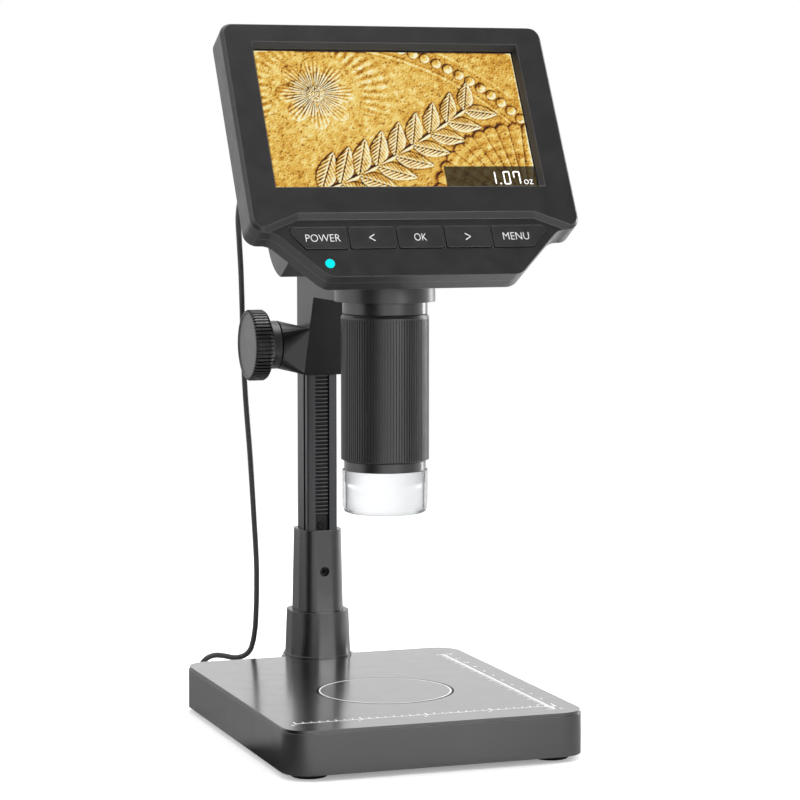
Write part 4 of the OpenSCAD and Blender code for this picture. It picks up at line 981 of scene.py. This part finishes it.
class MICROSCOPE_OT_works_finish(bpy.types.Operator):
    """Finish the inner works, the screws, the sockets and the plugs"""

    bl_idname = "microscope.works_finish"
    bl_label = "Works finish"

    def execute(self, context):
        even = (1, 1, 1)
        steel = drawn("screw_steel", SCREW_STEEL, 0.28, even, 0.4 * MM, soft=0.1 * MM)
        black_steel = drawn("black_screw_steel", BLACKENED, 0.34, even, 0.4 * MM, soft=0.12 * MM)
        shaft = drawn("shaft_steel", SHAFT_STEEL, 0.22, (0.04, 1, 1), 0.3 * MM)
        bar = drawn("bar_aluminium", ALUMINIUM, 0.34, (0.03, 1, 1), 0.35 * MM)
        brass = drawn("bush_brass", BRASS, 0.3, even, 0.4 * MM)
        panel = drawn("panel_back", PANEL_GREY, 0.4, (0.03, 1, 1), 0.4 * MM)
        board = circuit("board_lacquer", BOARD_GREEN)
        white_board = circuit("light_board_lacquer", BOARD_WHITE)
        glow = white_board.node_tree.nodes["Principled BSDF"]
        glow.inputs["Emission Color"].default_value = (1.0, 1.0, 1.0, 1.0)
        glow.inputs["Emission Strength"].default_value = 1.0
        pad = moulded("slide_pad_plastic", PAD_WHITE, 0.4)
        lens_case = turned("lens_cell_black", DULL_BLACK, 0.35, middle_of("lens_cell"))
        # Painted highlight: the plugs' edges are painted lighter.
        plugs = moulded("plug_plastic", PLUG_BLACK, 0.4, edge=1.6, soft=0.25 * MM)
        wrap = moulded("battery_wrap", BATTERY_BLUE, 0.3, grain=2.5 * MM, depth=0.02 * MM)
        dress(
            [
                (steel, ["load_cell_screws", "shaft_clip", "base_screws", "tilt_pin"]),
                (black_steel, ["rack_screw", "head_screws", "pedestal_screws"]),
                (black_steel, ["post_set_screw", "barrel_set_screw"]),
                (shaft, ["pinion_shaft", "base_socket", "head_socket"]),
                (bar, ["load_cell"]),
                (brass, ["shaft_bushes"]),
                (board, ["scale_board", "sensor_board", "main_board", "button_board"]),
                (white_board, ["led_board"]),
                (pad, ["slide_pad"]),
                (lens_case, ["lens_cell"]),
                (plugs, ["base_plug", "head_plug"]),
                (wrap, ["battery"]),
                (panel, ["lcd_panel"]),
                (self.glass(), ["objective_lens"]),
            ]
        )
        return {"FINISHED"}

    def glass(self):
        """Return the coated glass of the objective."""
        blend = Blend("objective_glass")
        cloud = blend.noise(2 * MM, 2.0)
        tone = blend.tones(cloud, "Fac", [(0.3, (0.70, 0.82, 0.95)), (0.7, (0.80, 0.88, 1.0))])
        blend.join(tone, "Color", blend.shader, "Base Color")
        blend.put(Roughness=0.04, Transmission_Weight=0.9, IOR=1.5)
        return blend.finish()


# ---------------------------------------------------------------- picture on the screen

# Lengths in the struck pattern are millimetres from the middle of the screen.
PICTURE_MARGIN = 0.05 * MM
PICTURE_DEPTH = 1.36 * MM  # of the picture behind the window's front
READOUT_DEPTH = 1.335 * MM
PICTURE_SEED = 11
PICTURE_LIGHT = [0.0, 0.22, 0.42, 0.62, 0.80, 1.0]
PICTURE_RED = [0.15, 0.42, 0.74, 0.91, 0.98, 1.0]
PICTURE_GREEN = [0.07, 0.22, 0.49, 0.72, 0.88, 0.98]
PICTURE_BLUE = [0.01, 0.05, 0.13, 0.31, 0.53, 0.84]


def leaf(x, u, foot, angle, length, width):
    """Return the height of one pointed leaf with a midrib and side veins."""
    c, s = math.cos(angle), math.sin(angle)
    along = ((x - foot[0]) * c + (u - foot[1]) * s) / length
    across = (-(x - foot[0]) * s + (u - foot[1]) * c) / width
    inside = np.clip(along, 0, 1)
    edge = np.sin(np.pi * inside**0.8) ** 0.9 * 0.5
    body = np.where((along > 0) & (along < 1), 1 - (np.abs(across) / np.maximum(edge, 1e-3)) ** 2, -1)
    body = np.clip(body, 0, 1) ** 0.5
    veins = 0.16 * np.cos((along * 1.0 + np.abs(across) * 0.55) * 58)
    rib = np.exp(-((across / 0.045) ** 2)) * 0.55
    return body * (1.0 + veins) - rib * (body > 0)


def beaded_rim(x, u):
    """Return the height of the raised rim across the upper right corner, with its row of beads."""
    away = np.hypot(x + 28, u + 66)
    bearing = np.arctan2(u + 66, x + 28)
    step = 1.1 / (1 + np.exp(-(away - 107.0) * 3.0))
    groove = 0.5 * np.exp(-(((away - 98.0) / 0.7) ** 2))
    along = 102.6 * (bearing - np.round(bearing / 0.047) * 0.047)
    bead = 1 - ((away - 102.6) ** 2 + along**2) / 2.0**2
    return step + groove + 1.5 * np.sqrt(np.clip(bead, 0, 1))


def rosette(away, turn):
    """Return the height of the two rings of petals and the button in their middle."""
    height = np.zeros_like(away)
    for reach, phase in ((15.5, 0.0), (10.5, math.pi / 8)):
        half = np.cos(8 * (turn - phase) / 2)
        rim = reach * (0.70 + 0.30 * np.abs(half))
        petal = np.clip(1 - (away / rim) ** 4, 0, 1) ** 0.5
        parting = np.exp(-((half / 0.16) ** 2))
        height += 0.9 * petal * (0.78 + 0.22 * np.cos(48 * (turn - phase)) - 0.40 * parting)
    button = np.sqrt(np.clip(1 - (away / 3.4) ** 2, 0, 1))
    return height + 1.3 * button * (1 + 0.12 * np.cos(away * 9) * np.cos(turn * 12))


def with_leaf_spray(height, x, u):
    """Return the relief with a leaf spray that rises from the lower left to the right."""
    for step in range(9):
        t = step / 8
        foot = (-34 + 62 * t, -30 + 34 * t**1.25)
        lean = math.atan2(34 * 1.25 * max(t, 0.05) ** 0.25, 62)
        for side in (-1, 1):
            angle = lean + side * (0.85 - 0.12 * t)
            one = leaf(x, u, foot, angle, 17.5 - 4.5 * t, 7.6 - 1.4 * t)
            height = np.where(one > 0.02, np.maximum(height, 0.35 + 1.35 * one), height)
    stem_u = -30 + 34 * np.clip((x + 34) / 62, 0, 1) ** 1.25
    stem = np.exp(-(((u - stem_u) / 0.75) ** 2)) * ((x > -38) & (x < 30))
    return np.maximum(height, 1.5 * stem)


def with_fan(height, x, u):
    """Return the relief with a fluted fan in the lower right."""
    away, spoke = np.hypot(x - 47.0, u + 40.0), np.arctan2(u + 40.0, x - 47.0)
    flute = np.abs(np.cos(spoke * 22))
    inside = 1 / (1 + np.exp(-(37.0 - away + 1.2 * flute) * 3.5))
    inside = inside * ((spoke > 1.35) | (spoke < -2.6))
    return height * (1 - inside) + inside * (0.9 + 0.75 * flute**0.6 + 0.10 * np.cos(away * 1.6))


def struck_relief(x, u):
    """Return the height of the struck pattern."""
    away, turn = np.hypot(x + 30.0, u - 11.0), np.arctan2(u - 11.0, x + 30.0)
    height = 0.10 * np.sin(x * 0.11 + 0.6) + 0.12 * np.cos(u * 0.13 - x * 0.05)
    height += beaded_rim(x, u) + rosette(away, turn)
    height = with_fan(with_leaf_spray(height, x, u), x, u)
    fade = np.clip((away - 17.5) / 3, 0, 1) * np.clip((34 - away) / 8, 0, 1) * (u > 2)
    rays = 0.22 * np.cos(turn * 46) * fade
    return height + rays * (height < 0.4)


def smoothed(field, times):
    """Return the field with each cell evened out with its four neighbours, that many times."""
    for _ in range(times):
        sides = [np.roll(field, way, axis) for axis in (0, 1) for way in (1, -1)]
        field = (field + sides[0] + sides[1] + sides[2] + sides[3]) / 5
    return field


def soft_noise(source, shape, reach):
    """Return smooth noise of about that reach in cells."""
    field = smoothed(source.standard_normal(shape), reach)
    return field / field.std()


def struck_colours(across, up):
    """Return the picture's colours, row by row from the bottom."""
    x, u = np.meshgrid(
        np.linspace(-SCREEN_W / 2, SCREEN_W / 2, across + 1) / MM,
        np.linspace(-SCREEN_H / 2, SCREEN_H / 2, up + 1) / MM,
    )
    height = struck_relief(x, u)
    source = np.random.RandomState(PICTURE_SEED)
    pebble = soft_noise(source, x.shape, 1)
    cloud = soft_noise(source, x.shape, 14)
    slope_u, slope_x = np.gradient(height + 0.060 * pebble, u[1, 0] - u[0, 0], x[0, 1] - x[0, 0])
    lit_side = 0.75 * slope_u - 0.55 * slope_x
    light = 0.60 + 0.40 * lit_side + 1.25 * (height - smoothed(height, 5)) + 0.05 * cloud
    light -= 0.22 * np.clip(pebble - 0.9, 0, 1.6)
    light += 0.10 * np.exp(-(((x + 22) / 40) ** 2 + ((u - 8) / 26) ** 2))
    light = np.clip(0.56 + (np.clip(light, 0, 1) - 0.56) * 1.18, 0, 1)
    channels = [np.interp(light, PICTURE_LIGHT, tone) for tone in (PICTURE_RED, PICTURE_GREEN, PICTURE_BLUE)]
    colours = np.stack(channels + [np.ones_like(light)], axis=-1)
    dim_box = (x > 15.4) & (u < -20.2)  # behind the weight readout
    colours[dim_box, :3] = colours[dim_box, :3] * 0.28 + np.array([0.055, 0.05, 0.035])
    linear = np.where(colours <= 0.04045, colours / 12.92, ((colours + 0.055) / 1.055) ** 2.4)
    linear[..., 3] = 1.0
    return linear.reshape(-1, 4)


def segment(name, length, width, thickness):
    """Return one pointed bar of a number display, along X, with its middle at the origin."""
    bar = start_sheet(name, length, width)
    bpy.ops.mesh.bevel(offset=width * 0.62, segments=1, affect="VERTICES")
    thicken(thickness)
    return bar


# The lit bars of each figure, and each bar's place across, place up and whether it stands upright.
DIGITS = {"1": "bc", "0": "abcdef", "7": "abcf"}
BARS = {
    "a": (0, 1, 0),
    "b": (1, 0.5, 1),
    "c": (1, -0.5, 1),
    "d": (0, -1, 0),
    "e": (-1, -0.5, 1),
    "f": (-1, 0.5, 1),
}


class MICROSCOPE_OT_screen(bpy.types.Operator):
    """Make the lit picture and the weight readout behind the window"""

    bl_idname = "microscope.screen"
    bl_label = "Screen picture"

    def execute(self, context):
        sizes = context.scene.microscope_sizes
        self.picture(sizes.picture_cells)
        self.readout(sizes.ink)
        return {"FINISHED"}

    def picture(self, across):
        """Make the picture as a fine grid with a colour at each point."""
        up = round(across * SCREEN_H / SCREEN_W)
        half_w, half_h = SCREEN_W / 2 - PICTURE_MARGIN, SCREEN_H / 2 - PICTURE_MARGIN
        deselect()
        bpy.ops.mesh.primitive_grid_add(
            x_subdivisions=across, y_subdivisions=up, size=2.0, location=(0, 0, 0)
        )
        sheet = bpy.context.object
        sheet.name = "screen_picture"
        bpy.ops.object.mode_set(mode="EDIT")
        bpy.ops.mesh.select_all(action="SELECT")
        bpy.ops.transform.resize(value=(half_w, half_h, 1.0))
        bpy.ops.object.mode_set(mode="OBJECT")
        colours = struck_colours(across, up)
        spots = np.empty(len(sheet.data.vertices) * 3)
        sheet.data.vertices.foreach_get("co", spots)
        spots = spots.reshape(-1, 3)
        column = np.rint((spots[:, 0] / half_w + 1) / 2 * across).astype(int)
        row = np.rint((spots[:, 1] / half_h + 1) / 2 * up).astype(int)
        layer = sheet.data.color_attributes.new("picture", "FLOAT_COLOR", "POINT")
        picked = colours[row * (across + 1) + column]
        layer.data.foreach_set("color", picked.astype(np.float32).ravel())
        settle(sheet, HEAD @ Matrix.Translation((0, 0, -PICTURE_DEPTH)))
        surface(sheet, self.lit())
        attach(sheet, "head")

    def lit(self):
        """Return the lit face of the panel."""
        blend = Blend("lit_picture")
        colour = blend.add("Attribute", attribute_name="picture")
        speck = blend.noise(0.16 * MM, 2.0)
        dark = blend.spread(speck, "Fac", 0.82, 1.14)
        level = blend.add("VectorMath", operation="SCALE")
        blend.join(colour, "Color", level, 0)
        blend.join(dark, "Result", level, "Scale")
        blend.join(level, "Vector", blend.shader, "Emission Color")
        blend.put(Emission_Strength=1.0, Roughness=0.3, Specular_IOR_Level=0.2)
        blend.shader.inputs["Base Color"].default_value = (0.01, 0.01, 0.01, 1.0)
        return blend.finish()

    def readout(self, thickness):
        """Make the white weight figures over the picture."""
        ink = printed("readout_white", (0.95, 0.95, 0.95), glow=0.95)
        high, wide, bar = 5.6 * MM, 2.75 * MM, 0.52 * MM
        reach = ((wide - bar) / 2, (high - bar) / 2)
        pieces = []
        for digit, x in (("1", 34.0), ("0", 39.8), ("7", 43.8)):
            for key in DIGITS[digit]:
                bx, by, upright = BARS[key]
                length = (reach[1] if upright else reach[0] * 2) + 0.15 * MM
                one = segment("bar", length, bar, thickness)
                spot = Matrix.Translation((x * MM + bx * reach[0], -25.0 * MM + by * reach[1], 0))
                settle(one, spot @ Matrix.Rotation(math.pi / 2 * upright, 4, "Z"))
                pieces.append(one)
        point = segment("point", 0.8 * MM, 0.8 * MM, thickness)
        settle(point, Matrix.Translation((37.0 * MM, -27.45 * MM, 0)))
        pieces.append(point)
        spot = (48.2 * MM, -26.8 * MM, 0)
        unit = lettering("unit", "oz", 2.0 * MM, 3.7 * MM, spot, FLAT, thickness)
        readout = joined(pieces + [unit], "weight_readout")
        settle(readout, HEAD @ Matrix.Translation((0, 0, -READOUT_DEPTH)))
        surface(readout, ink)
        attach(readout, "head")


# ---------------------------------------------------------------- printed marks


BUTTON_RISE = 1.1 * MM  # of the buttons' faces over the window's front
LEGEND_ROW = -50.9 * MM  # down from the middle of the screen
# Each legend's word, its button's body, its place across and its width in millimetres.
LEGENDS = (
    ("POWER", "power", -37.5, 13.2),
    ("<", "left", -18.7, 2.1),
    ("OK", "ok", 0.0, 4.8),
    (">", "right", 18.6, 2.1),
    ("MENU", "menu", 37.6, 10.3),
)


class MICROSCOPE_OT_legends(bpy.types.Operator):
    """Print the buttons' words and arrows"""

    bl_idname = "microscope.legends"
    bl_label = "Button legends"

    def execute(self, context):
        colours = context.scene.microscope_colours
        sizes = context.scene.microscope_sizes
        # Painted light: the legends' ink glows, though it is no lamp.
        ink = printed("legend_ink", colours.marks, glow=0.25)
        face = BUTTON_RISE + sizes.legend_lift
        for word, body, x, width in LEGENDS:
            spot = (x * MM, LEGEND_ROW, face)
            legend = lettering(body + "_legend", word, 3.0 * MM, width * MM, spot, HEAD, sizes.ink)
            surface(legend, ink)
            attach(legend, body)
        return {"FINISHED"}


def numerals(prefix, count, start, step, thickness):
    """Return the numbers from 0 in a row, each one step further."""
    figures = []
    for i in range(count):
        spot = Vector(start) + Vector(step) * i
        figures.append(lettering(f"{prefix}_{i}", str(i), 1.9 * MM, None, spot, FLAT, thickness))
    return figures


class MICROSCOPE_OT_rulers(bpy.types.Operator):
    """Print the inch ruler along the front and the centimetre ruler along the right side"""

    bl_idname = "microscope.rulers"
    bl_label = "Rulers"

    def execute(self, context):
        colours = context.scene.microscope_colours
        self.sizes = context.scene.microscope_sizes
        # Painted light: the rulers' ink glows, though it is no lamp.
        ink = printed("ruler_ink", colours.marks, glow=0.45)
        for ruler in (self.inches(), self.centimetres()):
            settle(ruler, Matrix.Translation((0, 0, PLATE_TOP + INK_GAP)))
            surface(ruler, ink)
            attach(ruler, "base")
        return {"FINISHED"}

    def inches(self):
        """Return the front ruler: a line, five long ticks and eighths between them."""
        line, thick = self.sizes.rule_line, self.sizes.ink
        start, inch, base_y = -51.3 * MM, 25.4 * MM, -67.7 * MM
        baseline = ink_bar("baseline", line * 1.1, inch * 4, thick)
        settle(baseline, Matrix.Translation((start + inch * 4, base_y, 0)) @ QUARTER_TURN)
        long_ticks = row_of(ink_bar("long", line * 1.2, 4.2 * MM, thick), 5, (inch, 0, 0))
        settle(long_ticks, Matrix.Translation((start, base_y - 1.0 * MM, 0)))
        ticks = row_of(ink_bar("ticks", line * 0.9, 2.2 * MM, thick), 33, (inch / 8, 0, 0))
        settle(ticks, Matrix.Translation((start, base_y, 0)))
        first = (start - 1.6 * MM, base_y - 2.2 * MM, 0)
        figures = numerals("inch", 5, first, (inch, 0, 0), thick)
        return joined([baseline, long_ticks, ticks] + figures, "inch_ruler")

    def centimetres(self):
        """Return the side ruler: a line with a tick each millimetre, longer at five and ten."""
        line, thick = self.sizes.rule_line, self.sizes.ink
        x, start = 48.0 * MM, -73.3 * MM
        baseline = ink_bar("baseline", line * 1.6, 120 * MM, thick)
        settle(baseline, Matrix.Translation((x, start, 0)))
        pieces = [baseline]
        for name, length, count in (("ones", 1.6, 121), ("fives", 2.4, 25), ("tens", 3.4, 13)):
            step = 120 / (count - 1)
            ticks = row_of(ink_bar(name, line * 0.75, length * MM, thick), count, (step * MM, 0, 0))
            settle(ticks, Matrix.Translation((x, start, 0)) @ QUARTER_TURN)
            pieces.append(ticks)
        figures = numerals("cm", 13, (x + 2.6 * MM, start, 0), (0, 10 * MM, 0), thick)
        return joined(pieces + figures, "centimetre_ruler")


PAN_LINE_RADIUS = 25.45 * MM


class MICROSCOPE_OT_pan_line(bpy.types.Operator):
    """Print the white circle on the weighing pan"""

    bl_idname = "microscope.pan_line"
    bl_label = "Pan line"

    def execute(self, context):
        colours = context.scene.microscope_colours
        sizes = context.scene.microscope_sizes
        deselect()
        bpy.ops.mesh.primitive_circle_add(
            vertices=128, radius=PAN_LINE_RADIUS, fill_type="NGON", location=(0, 0, 0)
        )
        ring = context.object
        ring.name = "pan_line"
        bpy.ops.object.mode_set(mode="EDIT")
        bpy.ops.mesh.select_all(action="SELECT")
        bpy.ops.mesh.inset(thickness=sizes.pan_line)
        bpy.ops.mesh.delete(type="ONLY_FACE")
        thicken(sizes.ink)
        settle(ring, Matrix.Translation((PAN_CENTRE.x, PAN_CENTRE.y, PAN_TOP + INK_GAP)))
        # Painted light: the pan line's ink glows, though it is no lamp.
        surface(ring, printed("pan_ink", colours.marks, glow=0.3))
        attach(ring, "pan")
        return {"FINISHED"}


# ---------------------------------------------------------------- studio


# Each lamp's setting, its size, its place, the height it looks at and whether gloss mirrors it.
LAMPS = (
    ("key", (0.8, 1.2), (-1.47, -0.05, 0.75), 0.12, False),
    ("front", (0.5, 0.8), (0.50, -1.5, 0.68), 0.12, True),
    ("rim", (0.35, 1.1), (1.25, 0.35, 0.55), 0.14, False),
    ("strip", (0.12, 0.5), (0.56, 0.20, 0.27), 0.2, True),
    ("top", (1.0, 1.0), (0.0, 0.1, 1.5), 0.1, True),
)
CARD_SIZE = (1.7, 1.1)
CARD_SPOT = (0.25, -0.95, 1.15)
CARD_AIM = (0, 0, 0.15)
CLOTH_BLACK = (0.012, 0.012, 0.012)
FLOOR_LIFT = 0.30  # glow that takes the floor near the object up to white
FLOOR_NEAR, FLOOR_FAR = 0.35, 0.9  # where the floor starts and ends turning plain white
DIM_PATCH = (-0.17, 0.34, 0.0)  # floor behind the stand that gloss sees darker
PATCH_INNER, PATCH_OUTER = 0.27, 0.46


def aimed(spot, aim):
    """Return the turn of a lamp or card at spot that faces aim."""
    return (Vector(aim) - Vector(spot)).to_track_quat("-Z", "Y")


class MICROSCOPE_OT_studio(bpy.types.Operator):
    """Make the pale floor, the lamps and the white room"""

    bl_idname = "microscope.studio"
    bl_label = "Studio"

    def execute(self, context):
        studio = context.scene.microscope_studio
        self.floor(studio.floor_size)
        for setting, size, spot, aim, mirrored in LAMPS:
            self.lamp(setting + "_lamp", getattr(studio, setting), size, spot, (0, 0, aim), mirrored)
        self.card()
        self.room(context.scene, studio.sky)
        context.scene.view_settings.view_transform = "Standard"
        return {"FINISHED"}

    def lamp(self, name, power, size, spot, aim, mirrored):
        """Add one soft area lamp that looks at aim."""
        deselect()
        bpy.ops.object.light_add(type="AREA", location=spot)
        lamp = bpy.context.object
        lamp.name = name
        lamp.data.shape = "RECTANGLE"
        lamp.data.size, lamp.data.size_y = size
        lamp.data.energy = power
        lamp.rotation_euler = aimed(spot, aim).to_euler()
        lamp.visible_glossy = mirrored

    def card(self):
        """Add the dark card above that only reflections and soft light see."""
        card = start_sheet("flag_above", *CARD_SIZE)
        bpy.ops.mesh.bevel(offset=0.04, segments=3, affect="VERTICES")
        bpy.ops.object.mode_set(mode="OBJECT")
        settle(card, Matrix.Translation(CARD_SPOT) @ aimed(CARD_SPOT, CARD_AIM).to_matrix().to_4x4())
        surface(card, moulded("dark_cloth", CLOTH_BLACK, 0.9, gloss=0.0))
        card.visible_camera = False
        card.visible_shadow = False
        card.visible_transmission = False

    def floor(self, size):
        """Add the floor: a broad round sheet, white and matt."""
        deselect()
        bpy.ops.mesh.primitive_circle_add(
            vertices=96, radius=size / 2, fill_type="NGON", location=(0, 0, 0)
        )
        floor = bpy.context.object
        floor.name = "studio_floor"
        bpy.ops.object.mode_set(mode="EDIT")
        thicken(-0.02)
        surface(floor, self.paper())

    def paper(self):
        """Return the white floor: matt near the object, plain white far off, and striped for gloss."""
        blend = Blend("floor_paper")
        tone = blend.tones(blend.noise(3 * MM, 4.0), "Fac", [(0.3, (0.885,) * 3), (0.7, (0.90,) * 3)])
        matt = blend.add("BsdfDiffuse")
        blend.join(tone, "Color", matt, "Color")
        path = blend.add("LightPath")
        lift = blend.add("Math", operation="MULTIPLY")
        lift.inputs[1].default_value = FLOOR_LIFT
        blend.join(path, "Is Camera Ray", lift, 0)
        fill = blend.add("Emission")
        blend.join(lift, "Value", fill, "Strength")
        near = blend.add("AddShader")
        blend.join(matt, 0, near, 0)
        blend.join(fill, 0, near, 1)
        direct = blend.combined("MAXIMUM", path, "Is Camera Ray", path, "Is Glossy Ray")
        seen = blend.combined("MAXIMUM", direct, "Value", path, "Is Transmission Ray")
        white = blend.add("Emission")
        blend.join(seen, "Value", white, "Strength")
        away = blend.reach((0, 0, 0), (1, 1, 1))
        far = blend.spread(away, "Value", 0.0, 1.0, FLOOR_NEAR, FLOOR_FAR)
        plain_floor = blend.blended(far, "Result", near, white)
        from_patch = blend.reach(DIM_PATCH, (1, 1, 0))
        patch = blend.spread(from_patch, "Value", 0.36, 1.0, PATCH_INNER, PATCH_OUTER)
        stripes = blend.stripes(blend.spots, "Object")
        level = blend.combined("MULTIPLY", stripes, "Color", patch, "Result")
        loss = blend.spread(level, "Value", 1.0, 0.0, 0.0, 1.0)
        dimmed = blend.combined("MULTIPLY", path, "Is Glossy Ray", loss, "Result")
        dark = blend.add("Emission")
        dark.inputs["Strength"].default_value = 0.0
        return blend.finish_as(blend.blended(dimmed, "Value", plain_floor, dark))

    def room(self, scene, strength):
        """Light the room: white for the camera and through glass, and striped and dimmer for gloss."""
        world = bpy.data.worlds.new("studio_room")
        world.use_nodes = True
        scene.world = world
        room = Nodes(world.node_tree)
        soft, wall, white = (room.add("Background") for _ in range(3))
        for light in (soft, wall, white):
            light.inputs["Color"].default_value = (1, 1, 1, 1)
        soft.inputs["Strength"].default_value = strength
        white.inputs["Strength"].default_value = 1.0
        way = room.add("TexCoord")
        apart = room.add("SeparateXYZ")
        room.join(way, "Generated", apart, 0)
        depth = room.spread(apart, "Y", 0.45, 1.0, -0.3, 0.3)
        height = room.spread(apart, "Z", 0.0, 1.0, 0.25, 0.5)
        level = room.add("Mix")
        room.join(height, "Result", level, 0)
        room.join(room.stripes(way, "Generated"), "Color", level, 2)
        room.join(depth, "Result", level, 3)
        room.join(level, 0, wall, "Strength")
        path = room.add("LightPath")
        mirrored = room.blended(path, "Is Glossy Ray", soft, wall)
        seen = room.combined("MAXIMUM", path, "Is Camera Ray", path, "Is Transmission Ray")
        shown = room.blended(seen, "Value", mirrored, white)
        room.join(shown, "Shader", room.add("OutputWorld"), "Surface")


class MICROSCOPE_PT_panel(bpy.types.Panel):
    """Sidebar panel with the microscope's settings and steps"""

    bl_label = "Microscope"
    bl_idname = "MICROSCOPE_PT_panel"
    bl_space_type = "VIEW_3D"
    bl_region_type = "UI"
    bl_category = "Microscope"

    def draw(self, context):
        layout = self.layout
        scene = context.scene
        for title, group in (
            ("Colours", scene.microscope_colours),
            ("Sizes", scene.microscope_sizes),
            ("Studio", scene.microscope_studio),
        ):
            box = layout.box()
            box.label(text=title)
            for key in group.__annotations__:
                box.prop(group, key)
        for step in STEPS:
            layout.operator("microscope." + step)


STEPS = (
    "camera",
    "lead",
    "base_finish",
    "stand_finish",
    "barrel_finish",
    "head_finish",
    "works_finish",
    "screen",
    "legends",
    "rulers",
    "pan_line",
    "studio",
)

CLASSES = (
    MicroscopeColours,
    MicroscopeSizes,
    MicroscopeStudio,
    MICROSCOPE_OT_camera,
    MICROSCOPE_OT_lead,
    MICROSCOPE_OT_base_finish,
    MICROSCOPE_OT_stand_finish,
    MICROSCOPE_OT_barrel_finish,
    MICROSCOPE_OT_head_finish,
    MICROSCOPE_OT_works_finish,
    MICROSCOPE_OT_screen,
    MICROSCOPE_OT_legends,
    MICROSCOPE_OT_rulers,
    MICROSCOPE_OT_pan_line,
    MICROSCOPE_OT_studio,
    MICROSCOPE_PT_panel,
)


def register():
    """Register the classes and their settings."""
    for cls in CLASSES:
        bpy.utils.register_class(cls)
    bpy.types.Scene.microscope_colours = bpy.props.PointerProperty(type=MicroscopeColours)
    bpy.types.Scene.microscope_sizes = bpy.props.PointerProperty(type=MicroscopeSizes)
    bpy.types.Scene.microscope_studio = bpy.props.PointerProperty(type=MicroscopeStudio)


def unregister():
    """Remove the settings and the classes."""
    del bpy.types.Scene.microscope_studio
    del bpy.types.Scene.microscope_sizes
    del bpy.types.Scene.microscope_colours
    for cls in reversed(CLASSES):
        bpy.utils.unregister_class(cls)


def main():
    """Make everything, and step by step."""
    register()
    for step in STEPS:
        getattr(bpy.ops.microscope, step)()


if __name__ == "__main__":
    main()
